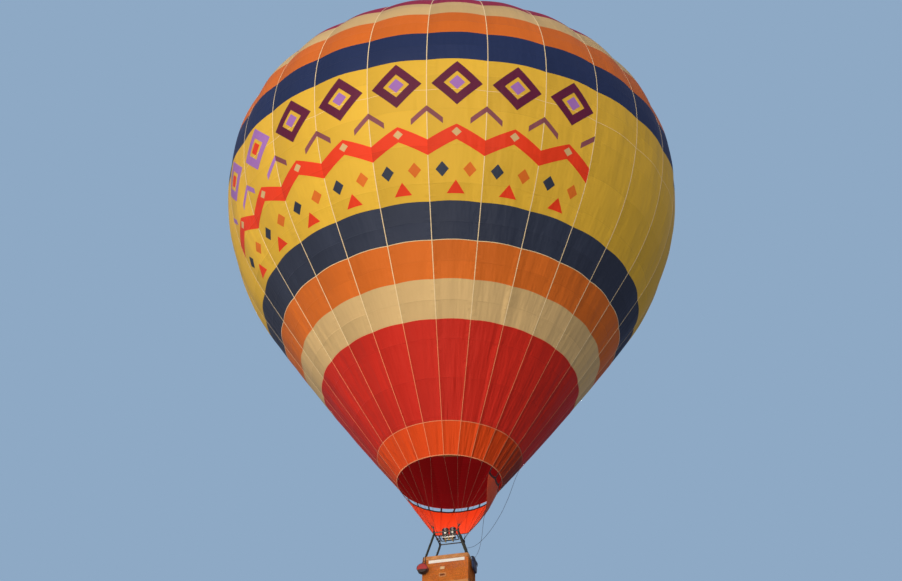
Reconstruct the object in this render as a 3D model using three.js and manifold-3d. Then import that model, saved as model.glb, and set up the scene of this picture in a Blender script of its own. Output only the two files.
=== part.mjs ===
// Hot air balloon: a 24-gore envelope with a parachute valve, a mouth scoop, flying wires,
// a gimballed double burner on padded uprights and a wicker basket.
// Millimetres, +Z up. The origin is the centre of the envelope at its widest circle.
// -Y is the front of the basket. An azimuth of 0 faces -Y and 90 faces +X.

import * as THREE from 'three';
import { mergeVertices } from 'three/addons/utils/BufferGeometryUtils.js';
import Module from 'manifold-3d';

const wasm = await Module();
wasm.setup();

// Clearance between pieces that touch
const GAP = 0.3;

// Envelope profile along a load tape: a nearly straight skirt, two shoulder arcs and a shallow crown
const EQUATOR_R = 7850;
const MOUTH_R = 1746;
const MOUTH_Z = -11736;
const SKIRT_TOP_ANGLE = 32;
const LOWER_ARC_R = 9050;
const UPPER_ARC_R = 5490;
const UPPER_ARC_ANGLE = 54.7;
const SHELL = 10;
const GORES = 24;
const FIRST_TAPE = 7.5;
const STEPS_PER_GORE = 2;
const LOWER_LOBE_DEPTH = 0.007;
const UPPER_LOBE_DEPTH = 0.018;
const LOBE_START_Z = -9000;
const LOBE_DEEPENS_Z = [500, 4000];

// Seams, as distances up a load tape from the mouth
const SEAM = {
  mouth: 0,
  nomex: 1145,
  red: 4490,
  lowerCream: 5805,
  lowerOrange: 7090,
  lowerBlue: 8365,
  yellowLower: 10310,
  yellowTape: 12250,
  yellow: 13465,
  upperBlue: 14735,
  upperOrange: 15950,
  upperCream: 17000,
  shoulder: 18800,
  crownLower: 20500,
  ventTape: 21990,
  vent: 22300,
};

// Colour bands: node, lower seam, upper seams, rows of facets, finish. The crown ends at the vent.
const BANDS = [
  ['mouth_band', SEAM.mouth, [SEAM.nomex], 1, 'nomex'],
  ['red_band', SEAM.nomex, [SEAM.red], 2, 'red'],
  ['lower_cream_band', SEAM.red, [SEAM.lowerCream], 1, 'cream'],
  ['lower_orange_band', SEAM.lowerCream, [SEAM.lowerOrange], 1, 'orange'],
  ['lower_blue_band', SEAM.lowerOrange, [SEAM.lowerBlue], 1, 'navy'],
  ['yellow_lower_band', SEAM.lowerBlue, [SEAM.yellowLower], 2, 'yellow'],
  ['yellow_middle_band', SEAM.yellowLower, [SEAM.yellowTape], 2, 'yellow'],
  ['yellow_upper_band', SEAM.yellowTape, [SEAM.yellow], 1, 'yellow'],
  ['upper_blue_band', SEAM.yellow, [SEAM.upperBlue], 1, 'navy'],
  ['upper_orange_band', SEAM.upperBlue, [SEAM.upperOrange], 2, 'orange'],
  ['upper_cream_band', SEAM.upperOrange, [SEAM.upperCream], 1, 'cream'],
  ['shoulder_band', SEAM.upperCream, [SEAM.shoulder], 2, 'crimson'],
  ['crown_lower_band', SEAM.shoulder, [SEAM.crownLower], 1, 'crimson'],
  ['crown_band', SEAM.crownLower, [SEAM.ventTape, SEAM.vent], 1, 'crimson'],
];

// Parachute valve and crown ring
const VALVE_OVERLAP = 260;
const VALVE_THICKNESS = 10;
const VALVE_SEAT_GAP = 0.6;
const CROWN_RING_R = 160;
const CROWN_RING_BAR = 22;
const SPOKE_WIDTH = 44;
const SPOKE_THICKNESS = 8;
const SPOKE_OVERLAP = 180;
const SPOKE_LIFT = 0.5;
const DOME_STEP_R = 1200;
const LUG_SIZE = 26;
const CROWN_LINE_AZIMUTH = 157.5;

// Burner frame, its corner sockets, and the uprights in them
const FRAME_Z = -13850;
const FRAME_HALF = 410;
const FRAME_TUBE_R = 19;
const SOCKET_R = 34;
const SOCKET_HEIGHT = 120;
const UPRIGHT_R = 40;
const UPRIGHT_FOOT_INSET = 85;

// Flying wires and their links at the sockets
const LINK_RISE = 110;
const LINK_BAR_R = 14;
const LINK_BALL_R = 24;
const WIRE_R = 6;

// Scoop
const SCOOP_START_TAPE = -97.5;
const SCOOP_GORES = 13;
const SCOOP_DROP = 160;
const SCOOP_HEM_Z = -13400;
const SCOOP_STANDOFF = WIRE_R + 2.6;
const SCOOP_BELLY = 90;
const SCOOP_ROWS = 5;
const SCOOP_EDGE_SWING = 45;
const SCOOP_EDGE_DEPTH = 0.85;
const SCOOP_CUTTER = { fromR: 300, toR: 2600, azimuth: 40, margin: 0.04, rows: 8 };

// Gimbal ring and the pins of both pivots
const GIMBAL_HALF_X = 300;
const GIMBAL_HALF_Y = 190;
const GIMBAL_BAR = 26;
const GIMBAL_OUTER_CORNER_R = 40;
const GIMBAL_INNER_CORNER_R = 20;
const PIN_R = 11;

// Double burner. The drops and rises are from the frame's height.
const BLOCK = { width: 440, depth: 150, height: 70 };
const CAN = { spacing: 125, radius: 112, rise: 95, height: 235, wall: 14, floor: 16, shoulder: 55, foot: 0.55 };
const JET_POST = { radius: 30, sink: 5 };
const VALVE_BODY = { radius: 26, drop: 150 };
const HANDLE = { radius: 12, drop: 105, reach: 150, tipDrop: 135 };
const HOSE_TAIL = { radius: 17, reach: 120 };
const MANIFOLD = { radius: 14, drop: 70 };

// Basket
const BASKET_WIDTH = 1550;
const BASKET_DEPTH = 1000;
const RIM_TOP_Z = -14765;
const RIM_HEIGHT = 165;
const RIM_WIDTH = 110;
const RIM_PROUD = 15;
const RIM_CORNER_R = 70;
const RIM_BEVEL = 28;
const WALL = 40;
const FLOOR_TOP_Z = -15870;
const FLOOR_THICKNESS = 30;
const RUNNER = { width: 90, height: 45, shorter: 40, inset: 150 };
const FOOT_HOLE = { x: -94, z: -15508, width: 170, height: 76 };

// Fuel cylinders
const CYLINDER = { radius: 150, height: 860, clearance: 2, collarR: 75 };
const CYLINDER_OUTLINE = [
  [0, 0], [120, 0], [CYLINDER.radius, 40], [CYLINDER.radius, 770], [110, 830],
  [CYLINDER.collarR, 848], [CYLINDER.collarR, CYLINDER.height], [0, CYLINDER.height],
];

// What hangs on the basket
const RED_BAG = { topR: 185, bottomR: 195, length: 200, flatten: 0.9, inset: 40, z: -15270 };
const BLUE_BAG = { thickness: 110, length: 560, height: 440, bottomZ: -15210, y: 40, cornerR: 30, bevel: 20 };
const NAME_PANEL = { width: 1210, thickness: 4, height: 115, x: 45, z: -14992 };

// Free lines
const LINE_R = 6;
const LINE_END_GAP = 0.6;
const LINE_SIDES = 8;
const CROWN_LINE_STEPS = 78;
const HANDLING_LINE_STEPS = 56;

// The crown line lies on the dome at these radii, then on the tape at these distances up it
const CROWN_LINE_ON_DOME = [CROWN_RING_R + LUG_SIZE / 2 + LINE_END_GAP, 900, 1600, 2300];
const CROWN_LINE_ON_TAPE = [
  21600, 21000, 20300, 19400, 18500, 17600, 16700, 15800, 14900, 14000, 13100, 12200, 11300, 10400, 9600,
];

// Then it hangs to the back right upright
const CROWN_LINE_HANGING = [
  [2387, 6108, -4900],
  [1907, 5359, -6900],
  [1344, 4479, -8931],
  [1146, 3820, -10295],
  [983, 3277, -11260],
  [718, 2395, -12507],
  [481, 1602, -13343],
  [340, 950, -13760],
  [436, 452.4, -13990],
];

// The handling line runs from the mouth, outside the scoop, to the basket's rim
const HANDLING_LINE = [
  [1150, 1322, -11738],
  [1145, 1320, -11900],
  [1055, 1255, -12180],
  [925, 1185, -12469],
  [893, 1110, -12850],
  [876, 1050, -13224],
  [856, 911, -13663],
  [833, 717, -14064],
  [772, 470, -14450],
  [735, 318, -14680],
  [735, 318, -14764.7],
];

// Colour, roughness and metalness of each finish
const FINISH = {
  nomex: [0xd95a20, 0.7, 0],
  red: [0xc03020, 0.6, 0],
  cream: [0xdcc09a, 0.6, 0],
  orange: [0xd06828, 0.6, 0],
  navy: [0x34405e, 0.6, 0],
  yellow: [0xdcb048, 0.6, 0],
  crimson: [0x96204a, 0.6, 0],
  webbing: [0xe8dcc0, 0.7, 0],
  steel: [0xc8c8c4, 0.3, 1],
  darkSteel: [0x5a5652, 0.45, 1],
  cable: [0xb8b4a8, 0.5, 0.6],
  cover: [0x2e3630, 0.8, 0],
  wicker: [0xb87834, 0.75, 0],
  suede: [0x7a4a2c, 0.85, 0],
  plywood: [0xb08a5c, 0.7, 0],
  ash: [0x9c7444, 0.6, 0],
  cylinder: [0xc4c8c8, 0.35, 1],
  redBag: [0xa82430, 0.7, 0],
  blueBag: [0x1c2c4c, 0.7, 0],
  banner: [0xf0eee8, 0.7, 0],
  rope: [0x8c94a0, 0.8, 0],
};

const SCENE = new THREE.Group();
const RAD = Math.PI / 180;

// Corners of a rectangle as signs of x and y, going round from the front left
const CORNER_SIGNS = [[-1, -1], [1, -1], [1, 1], [-1, 1]];
const CORNER_NAMES = ['front_left', 'front_right', 'back_right', 'back_left'];

function add(name, geometry, finish) {
  const [color, roughness, metalness] = FINISH[finish];
  const mesh = new THREE.Mesh(geometry, new THREE.MeshStandardMaterial({ color, roughness, metalness }));
  mesh.name = name;
  SCENE.add(mesh);
}

function vector(x, y, z) {
  return new THREE.Vector3(x, y, z);
}

// Point at radius r, azimuth in degrees and height z
function polar(r, azimuth, z) {
  return vector(r * Math.sin(azimuth * RAD), -r * Math.cos(azimuth * RAD), z);
}

// Mesh with only its positions left
function stripped(geometry) {
  const bare = geometry.clone();
  bare.deleteAttribute('normal');
  bare.deleteAttribute('uv');
  return bare;
}

// Booleans on closed meshes
function toSolid(geometry) {
  const merged = mergeVertices(stripped(geometry), 1e-4);
  return new wasm.Manifold(new wasm.Mesh({
    numProp: 3,
    vertProperties: new Float32Array(merged.attributes.position.array),
    triVerts: new Uint32Array(merged.index.array),
  }));
}

function toGeometry(solid) {
  const mesh = solid.getMesh();
  const geometry = new THREE.BufferGeometry();
  geometry.setAttribute('position', new THREE.BufferAttribute(new Float32Array(mesh.vertProperties), 3));
  geometry.setIndex(new THREE.BufferAttribute(new Uint32Array(mesh.triVerts), 1));
  return geometry;
}

function join(geometries) {
  const [first, ...rest] = geometries.map(toSolid);
  return toGeometry(rest.reduce((sum, solid) => sum.add(solid), first));
}

function keepInside(geometry, region) {
  return toGeometry(toSolid(geometry).intersect(toSolid(region)));
}

function cut(geometry, cutter) {
  return toGeometry(toSolid(geometry).subtract(toSolid(cutter)));
}

// Round bar between two points
function bar(from, to, radius, sides = 12) {
  const along = vector(0, 0, 0).subVectors(to, from);
  const geometry = new THREE.CylinderGeometry(radius, radius, along.length(), sides);
  const turn = new THREE.Quaternion().setFromUnitVectors(vector(0, 1, 0), along.clone().normalize());
  geometry.applyQuaternion(turn);
  const middle = vector(0, 0, 0).addVectors(from, to).multiplyScalar(0.5);
  return geometry.translate(middle.x, middle.y, middle.z);
}

function box(sizeX, sizeY, sizeZ, x, y, z) {
  return new THREE.BoxGeometry(sizeX, sizeY, sizeZ).translate(x, y, z);
}

// Rectangle outline with round corners, about the origin
function roundedRectangle(width, height, radius, path = new THREE.Shape()) {
  const x = width / 2;
  const y = height / 2;
  path.moveTo(-x + radius, -y);
  path.lineTo(x - radius, -y);
  path.absarc(x - radius, -y + radius, radius, -Math.PI / 2, 0);
  path.lineTo(x, y - radius);
  path.absarc(x - radius, y - radius, radius, 0, Math.PI / 2);
  path.lineTo(-x + radius, y);
  path.absarc(-x + radius, y - radius, radius, Math.PI / 2, Math.PI);
  path.lineTo(-x, -y + radius);
  path.absarc(-x + radius, -y + radius, radius, Math.PI, Math.PI * 1.5);
  return path;
}

function roundedRing(width, depth, thickness, outerR, innerR) {
  const shape = roundedRectangle(width, depth, outerR);
  const hole = new THREE.Path();
  shape.holes.push(roundedRectangle(width - 2 * thickness, depth - 2 * thickness, innerR, hole));
  return shape;
}

function extrudeUp(shape, z, height, bevel = 0) {
  const geometry = new THREE.ExtrudeGeometry(shape, {
    depth: height - 2 * bevel,
    bevelEnabled: bevel > 0,
    bevelThickness: bevel,
    bevelSize: bevel,
    bevelOffset: -bevel,
    bevelSegments: 2,
    curveSegments: 3,
  });
  return geometry.translate(0, 0, z + bevel);
}

// Surface of revolution about Z, from a closed outline of (radius, height) points
function revolve(outline, segments, startAzimuth = 0) {
  return new THREE.LatheGeometry(outline, segments, startAzimuth * RAD).rotateX(Math.PI / 2);
}

// Envelope profile: radius, height and outward tilt above the horizontal at a distance up the tape
// The skirt is an arc through the mouth that meets the lower shoulder arc smoothly.
const SKIRT_NORMAL = new THREE.Vector2(Math.cos(SKIRT_TOP_ANGLE * RAD), -Math.sin(SKIRT_TOP_ANGLE * RAD));
const LOWER_ARC_CENTRE = new THREE.Vector2(EQUATOR_R - LOWER_ARC_R, 0);
const SKIRT_TOP = LOWER_ARC_CENTRE.clone().addScaledVector(SKIRT_NORMAL, LOWER_ARC_R);
const SKIRT_FALL = new THREE.Vector2(MOUTH_R, MOUTH_Z).sub(SKIRT_TOP);
const SKIRT_R = -SKIRT_FALL.lengthSq() / (2 * SKIRT_FALL.dot(SKIRT_NORMAL));
const SKIRT_CENTRE = SKIRT_TOP.clone().addScaledVector(SKIRT_NORMAL, -SKIRT_R);
const MOUTH_TILT = Math.asin((MOUTH_Z - SKIRT_CENTRE.y) / SKIRT_R) / RAD;
const SKIRT_LENGTH = SKIRT_R * (-SKIRT_TOP_ANGLE - MOUTH_TILT) * RAD;
const LOWER_ARC_LENGTH = LOWER_ARC_R * SKIRT_TOP_ANGLE * RAD;
const UPPER_ARC_LENGTH = UPPER_ARC_R * UPPER_ARC_ANGLE * RAD;
const CROWN_R = (EQUATOR_R - UPPER_ARC_R) / Math.cos(UPPER_ARC_ANGLE * RAD) + UPPER_ARC_R;
const CROWN_CENTRE_Z = (UPPER_ARC_R - CROWN_R) * Math.sin(UPPER_ARC_ANGLE * RAD);

function arcPoint(centreR, centreZ, radius, tilt) {
  return { r: centreR + radius * Math.cos(tilt * RAD), z: centreZ + radius * Math.sin(tilt * RAD), tilt };
}

function profile(distance) {
  if (distance < SKIRT_LENGTH) {
    return arcPoint(SKIRT_CENTRE.x, SKIRT_CENTRE.y, SKIRT_R, MOUTH_TILT + distance / SKIRT_R / RAD);
  }
  const onLower = distance - SKIRT_LENGTH;
  if (onLower < LOWER_ARC_LENGTH) {
    return arcPoint(LOWER_ARC_CENTRE.x, 0, LOWER_ARC_R, onLower / LOWER_ARC_R / RAD - SKIRT_TOP_ANGLE);
  }
  const onUpper = onLower - LOWER_ARC_LENGTH;
  if (onUpper < UPPER_ARC_LENGTH) {
    return arcPoint(EQUATOR_R - UPPER_ARC_R, 0, UPPER_ARC_R, onUpper / UPPER_ARC_R / RAD);
  }
  return arcPoint(0, CROWN_CENTRE_Z, CROWN_R, UPPER_ARC_ANGLE + (onUpper - UPPER_ARC_LENGTH) / CROWN_R / RAD);
}

// Point of the profile moved along its normal
function offsetProfile(distance, offset) {
  const point = profile(distance);
  return new THREE.Vector2(
    point.r + offset * Math.cos(point.tilt * RAD),
    point.z + offset * Math.sin(point.tilt * RAD),
  );
}

// How far a gore bulges between its tapes: none at the mouth and at the vent
function lobe(z, azimuth) {
  const across = THREE.MathUtils.euclideanModulo((azimuth - FIRST_TAPE) * GORES / 360, 1);
  const low = THREE.MathUtils.smoothstep(z, MOUTH_Z, LOBE_START_Z);
  const high = 1 - THREE.MathUtils.smoothstep(z, profile(SEAM.upperCream).z, profile(SEAM.ventTape).z);
  const full = THREE.MathUtils.smoothstep(z, ...LOBE_DEEPENS_Z);
  const depth = THREE.MathUtils.lerp(LOWER_LOBE_DEPTH, UPPER_LOBE_DEPTH, full);
  return 1 + depth * low * high * Math.sin(Math.PI * across);
}

function addLobes(geometry) {
  const merged = mergeVertices(stripped(geometry), 1e-3);
  const position = merged.attributes.position;
  for (let i = 0; i < position.count; i += 1) {
    const azimuth = Math.atan2(position.getX(i), -position.getY(i)) / RAD;
    const scale = lobe(position.getZ(i), azimuth);
    position.setXY(i, position.getX(i) * scale, position.getY(i) * scale);
  }
  return merged;
}

// One colour band of the envelope, between two seams
function bandGeometry(stations) {
  const outside = stations.map((distance) => offsetProfile(distance, 0));
  const inside = stations.map((distance) => offsetProfile(distance, -SHELL)).reverse();
  return addLobes(revolve([...outside, ...inside, outside[0]], GORES * STEPS_PER_GORE, FIRST_TAPE));
}

function addEnvelope() {
  for (const [name, from, [to, ...beyond], rows, finish] of BANDS) {
    const top = beyond.length ? to : to - GAP;
    const stations = Array.from({ length: rows + 1 }, (_, i) => from + (top - from) * i / rows);
    add(name, bandGeometry([...stations, ...beyond]), finish);
  }
}

// Straight line of the vent edge, continued to a radius
const VENT_IN = profile(SEAM.vent);
const VENT_OUT = profile(SEAM.ventTape);

function ventLine(r, offset) {
  const slope = (VENT_IN.z - VENT_OUT.z) / (VENT_IN.r - VENT_OUT.r);
  const tilt = Math.atan(-1 / slope);
  const height = VENT_OUT.z + (r - VENT_OUT.r) * slope;
  return new THREE.Vector2(r + offset * Math.cos(tilt), height + offset * Math.sin(tilt));
}

// Dome of the crown inside the vent, at a radius
function domePoint(r, offset) {
  const height = Math.sqrt(CROWN_R * CROWN_R - r * r);
  return new THREE.Vector2(r, CROWN_CENTRE_Z + height + offset);
}

function addValve() {
  const top = -SHELL - VALVE_SEAT_GAP;
  const bottom = top - VALVE_THICKNESS;
  const edgeR = VENT_IN.r + VALVE_OVERLAP;
  const outline = [
    domePoint(0, bottom),
    domePoint(DOME_STEP_R, bottom),
    ventLine(VENT_IN.r, bottom),
    ventLine(edgeR, bottom),
    ventLine(edgeR, top),
    ventLine(VENT_IN.r, top),
    domePoint(DOME_STEP_R, top),
    domePoint(0, top),
  ];
  add('parachute_valve', revolve(outline, GORES * STEPS_PER_GORE, FIRST_TAPE), 'crimson');
}

// Load tapes that cross the vent to the crown ring, which has a lug for the crown line
function addCrownTapes() {
  const line = (offset) => [
    domePoint(CROWN_RING_R, offset),
    domePoint(DOME_STEP_R, offset),
    ventLine(VENT_IN.r, offset),
    ventLine(VENT_IN.r + SPOKE_OVERLAP, offset),
  ];
  const outline = new THREE.Shape([...line(SPOKE_LIFT), ...line(SPOKE_LIFT + SPOKE_THICKNESS).reverse()]);
  const spoke = new THREE.ExtrudeGeometry(outline, { depth: SPOKE_WIDTH, bevelEnabled: false });
  spoke.translate(0, 0, -SPOKE_WIDTH / 2).rotateX(Math.PI / 2);
  const spokes = Array.from({ length: GORES }, (_, i) => (
    spoke.clone().rotateZ((FIRST_TAPE + (i * 360) / GORES) * RAD)
  ));
  const ringZ = domePoint(CROWN_RING_R, SPOKE_LIFT + SPOKE_THICKNESS / 2).y;
  const ring = new THREE.TorusGeometry(CROWN_RING_R, CROWN_RING_BAR / 2, 6, GORES).translate(0, 0, ringZ);
  const lug = box(LUG_SIZE, LUG_SIZE, LUG_SIZE, CROWN_RING_R, 0, ringZ + LUG_SIZE / 2);
  lug.rotateZ((CROWN_LINE_AZIMUTH - 90) * RAD);
  add('crown_tapes', join([ring, lug, ...spokes]), 'webbing');
}

// Burner frame corner that a load tape's wire runs to
function cornerOf(azimuth) {
  const angle = THREE.MathUtils.euclideanModulo(azimuth, 360);
  const x = angle < 180 ? 1 : -1;
  const y = angle > 90 && angle < 270 ? 1 : -1;
  return vector(x * FRAME_HALF, y * FRAME_HALF, FRAME_Z + LINK_RISE);
}

function addFlyingWires() {
  const names = ['front_right', 'back_right', 'back_left', 'front_left'];
  const perCorner = GORES / names.length;
  names.forEach((name, quarter) => {
    const corner = cornerOf(quarter * 90 + 45);
    const socketTop = corner.clone().setZ(FRAME_Z + SOCKET_HEIGHT / 2 + GAP);
    const ball = new THREE.SphereGeometry(LINK_BALL_R, 8, 6).translate(corner.x, corner.y, corner.z);
    const wires = Array.from({ length: perCorner }, (_, i) => {
      const azimuth = FIRST_TAPE + (quarter * perCorner + i) * (360 / GORES);
      return bar(corner, polar(MOUTH_R - SHELL / 2, azimuth, MOUTH_Z - SHELL), WIRE_R, 5);
    });
    add(`wires_${name}`, join([bar(socketTop, corner, LINK_BAR_R, 10), ball, ...wires]), 'cable');
  });
}

// Scoop: a fabric skirt outside the wires, over the back half of the mouth
function wirePoint(azimuth, z) {
  const tape = (azimuth - FIRST_TAPE) * GORES / 360;
  const lower = Math.floor(tape + 1e-6);
  const between = tape - lower;
  const ends = [lower, lower + 1].map((k) => {
    const at = FIRST_TAPE + (k * 360) / GORES;
    const corner = cornerOf(at);
    const mouth = polar(MOUTH_R, at, MOUTH_Z);
    return vector(0, 0, 0).lerpVectors(corner, mouth, (z - corner.z) / (MOUTH_Z - corner.z));
  });
  return ends[0].lerp(ends[1], between);
}

function scoopPoint(u, v, offset) {
  const azimuth = SCOOP_START_TAPE - u * SCOOP_GORES * (360 / GORES);
  const topZ = MOUTH_Z - SCOOP_DROP;
  const z = topZ + (SCOOP_HEM_Z - topZ) * v;
  const point = wirePoint(azimuth, z);
  const out = vector(point.x, point.y, 0).normalize();
  const belly = SCOOP_BELLY * Math.sin(Math.PI * v) * Math.sin(Math.PI * u);
  return point.addScaledVector(out, SCOOP_STANDOFF + belly + offset);
}

// Closed sheet of a given thickness over a grid of points
function sheet(columns, rows, pointAt) {
  const positions = [];
  const index = [];
  const stride = columns + 1;
  const layer = stride * (rows + 1);
  for (const side of [0, 1]) {
    for (let j = 0; j <= rows; j += 1) {
      for (let i = 0; i <= columns; i += 1) {
        positions.push(...pointAt(i / columns, j / rows, side).toArray());
      }
    }
  }
  const quad = (a, b, c, d) => index.push(a, b, c, a, c, d);
  for (let j = 0; j < rows; j += 1) {
    for (let i = 0; i < columns; i += 1) {
      const a = j * stride + i;
      quad(a, a + stride, a + stride + 1, a + 1);
      quad(layer + a, layer + a + 1, layer + a + stride + 1, layer + a + stride);
    }
  }
  for (let i = 0; i < columns; i += 1) {
    const last = rows * stride + i;
    quad(i, i + 1, layer + i + 1, layer + i);
    quad(last, layer + last, layer + last + 1, last + 1);
  }
  for (let j = 0; j < rows; j += 1) {
    const left = j * stride;
    const right = left + columns;
    quad(left, layer + left, layer + left + stride, left + stride);
    quad(right, right + stride, layer + right + stride, layer + right);
  }
  const geometry = new THREE.BufferGeometry();
  geometry.setAttribute('position', new THREE.Float32BufferAttribute(positions, 3));
  geometry.setIndex(index);
  return geometry;
}

// The scoop's right edge swings back as it goes down
function scoopCutter() {
  const { fromR, toR, azimuth, margin, rows } = SCOOP_CUTTER;
  const topZ = MOUTH_Z - SCOOP_DROP;
  const topEdge = SCOOP_START_TAPE + 360 - SCOOP_GORES * (360 / GORES);
  return sheet(1, rows, (u, v, side) => {
    const down = THREE.MathUtils.lerp(-margin, 1 + margin, v);
    const edge = topEdge + SCOOP_EDGE_SWING * THREE.MathUtils.smoothstep(down, -margin, SCOOP_EDGE_DEPTH);
    const at = THREE.MathUtils.lerp(edge, azimuth, u);
    return polar(side ? toR : fromR, at, THREE.MathUtils.lerp(topZ, SCOOP_HEM_Z, down));
  });
}

function addScoop() {
  const cloth = sheet(SCOOP_GORES * STEPS_PER_GORE, SCOOP_ROWS, (u, v, side) => scoopPoint(u, v, side * SHELL));
  add('scoop', cut(cloth, scoopCutter()), 'nomex');
}

// Burner frame: four tubes into corner sockets, with the gimbal's pivot pins
function addBurnerFrame() {
  const corners = CORNER_SIGNS.map(([x, y]) => vector(x * FRAME_HALF, y * FRAME_HALF, FRAME_Z));
  const half = vector(0, 0, SOCKET_HEIGHT / 2);
  const pieces = corners.flatMap((corner, i) => [
    bar(corner, corners[(i + 1) % 4], FRAME_TUBE_R),
    bar(corner.clone().sub(half), corner.clone().add(half), SOCKET_R),
  ]);
  for (const side of [-1, 1]) {
    const inner = side * (GIMBAL_HALF_X + GIMBAL_BAR / 2 + GAP);
    pieces.push(bar(vector(inner, 0, FRAME_Z), vector(side * FRAME_HALF, 0, FRAME_Z), PIN_R));
  }
  add('burner_frame', join(pieces), 'steel');
}

// Gimbal: a ring that tilts about X in the frame, with the burner's own pins on its long sides
function addGimbal() {
  const width = 2 * GIMBAL_HALF_X + GIMBAL_BAR;
  const depth = 2 * GIMBAL_HALF_Y + GIMBAL_BAR;
  const outline = roundedRing(width, depth, GIMBAL_BAR, GIMBAL_OUTER_CORNER_R, GIMBAL_INNER_CORNER_R);
  const ring = extrudeUp(outline, FRAME_Z - GIMBAL_BAR / 2, GIMBAL_BAR);
  const pins = [-1, 1].map((side) => bar(
    vector(0, side * (BLOCK.depth / 2 + GAP), FRAME_Z),
    vector(0, side * GIMBAL_HALF_Y, FRAME_Z),
    PIN_R,
  ));
  add('gimbal_ring', join([ring, ...pins]), 'steel');
}

// Double burner: valve block on the gimbal's pins, and a coil can over each half
function canGeometry() {
  const inner = CAN.radius - CAN.wall;
  const outline = [
    [0, 0], [CAN.radius * CAN.foot, 0], [CAN.radius, CAN.shoulder], [CAN.radius, CAN.height],
    [inner, CAN.height], [inner, CAN.shoulder + CAN.floor / 2], [inner * CAN.foot, CAN.floor], [0, CAN.floor],
  ].map(([r, z]) => new THREE.Vector2(r, z));
  return revolve(outline, 24);
}

function burnerFittings(x) {
  const blockTop = FRAME_Z + BLOCK.height / 2;
  const canBase = FRAME_Z + CAN.rise;
  const handleRoot = vector(x, 0, FRAME_Z - HANDLE.drop);
  return [
    bar(vector(x, 0, blockTop - JET_POST.sink), vector(x, 0, canBase - GAP), JET_POST.radius),
    bar(vector(x, 0, FRAME_Z), vector(x, 0, FRAME_Z - VALVE_BODY.drop), VALVE_BODY.radius),
    bar(handleRoot, vector(x, -HANDLE.reach, FRAME_Z - HANDLE.tipDrop), HANDLE.radius),
    bar(handleRoot, vector(x, HOSE_TAIL.reach, handleRoot.z), HOSE_TAIL.radius),
  ];
}

function addBurner() {
  const block = box(BLOCK.width, BLOCK.depth, BLOCK.height, 0, 0, FRAME_Z);
  const manifoldZ = FRAME_Z - MANIFOLD.drop;
  const manifold = bar(vector(-CAN.spacing, 0, manifoldZ), vector(CAN.spacing, 0, manifoldZ), MANIFOLD.radius);
  const fittings = [-1, 1].flatMap((side) => burnerFittings(side * CAN.spacing));
  for (const [name, side] of [['left', -1], ['right', 1]]) {
    add(`burner_can_${name}`, canGeometry().translate(side * CAN.spacing, 0, FRAME_Z + CAN.rise), 'darkSteel');
  }
  add('burner_block', join([block, manifold, ...fittings]), 'steel');
}

// Padded uprights from the basket's rim to the frame's corner sockets, cut level at both
function addUprights() {
  CORNER_SIGNS.forEach(([x, y], i) => {
    const footX = BASKET_WIDTH / 2 - UPRIGHT_FOOT_INSET;
    const footY = BASKET_DEPTH / 2 - UPRIGHT_FOOT_INSET;
    const foot = vector(x * footX, y * footY, RIM_TOP_Z);
    const head = vector(x * FRAME_HALF, y * FRAME_HALF, FRAME_Z - SOCKET_HEIGHT / 2);
    const along = vector(0, 0, 0).subVectors(head, foot).normalize();
    const height = head.z - foot.z - 2 * GAP;
    const between = box(BASKET_WIDTH, BASKET_DEPTH, height, 0, 0, foot.z + GAP + height / 2);
    foot.addScaledVector(along, -UPRIGHT_R);
    head.addScaledVector(along, UPRIGHT_R);
    add(`upright_${CORNER_NAMES[i]}`, keepInside(bar(foot, head, UPRIGHT_R), between), 'cover');
  });
}

// Basket walls, rim, floor and runners
function addWalls(bottom, height) {
  const middle = bottom + height / 2;
  for (const [name, side] of [['front', -1], ['back', 1]]) {
    const y = side * (BASKET_DEPTH - WALL) / 2;
    const panel = box(BASKET_WIDTH, WALL, height, 0, y, middle);
    const hole = box(FOOT_HOLE.width, WALL * 3, FOOT_HOLE.height, FOOT_HOLE.x, y, FOOT_HOLE.z);
    add(`basket_${name}`, cut(panel, hole), 'wicker');
  }
  for (const [name, side] of [['left', -1], ['right', 1]]) {
    const depth = BASKET_DEPTH - 2 * WALL - 2 * GAP;
    add(`basket_${name}`, box(WALL, depth, height, side * (BASKET_WIDTH - WALL) / 2, 0, middle), 'wicker');
  }
}

function addBasket() {
  const bottom = FLOOR_TOP_Z - FLOOR_THICKNESS;
  addWalls(bottom, RIM_TOP_Z - RIM_HEIGHT - GAP - bottom);
  const rimWidth = BASKET_WIDTH + 2 * RIM_PROUD;
  const rimDepth = BASKET_DEPTH + 2 * RIM_PROUD;
  const rim = roundedRing(rimWidth, rimDepth, RIM_WIDTH, RIM_CORNER_R, RIM_CORNER_R * 0.6);
  add('basket_rim', extrudeUp(rim, RIM_TOP_Z - RIM_HEIGHT, RIM_HEIGHT, RIM_BEVEL), 'suede');
  const walls = 2 * WALL + 2 * GAP;
  const floor = box(BASKET_WIDTH - walls, BASKET_DEPTH - walls, FLOOR_THICKNESS, 0, 0, bottom + FLOOR_THICKNESS / 2);
  add('basket_floor', floor, 'plywood');
  const spacing = BASKET_WIDTH / 2 - RUNNER.inset;
  const runnerZ = bottom - GAP - RUNNER.height / 2;
  for (const [name, step] of [['left', -1], ['middle', 0], ['right', 1]]) {
    const runner = box(RUNNER.width, BASKET_DEPTH - RUNNER.shorter, RUNNER.height, step * spacing, 0, runnerZ);
    add(`runner_${name}`, runner, 'ash');
  }
}

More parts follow.
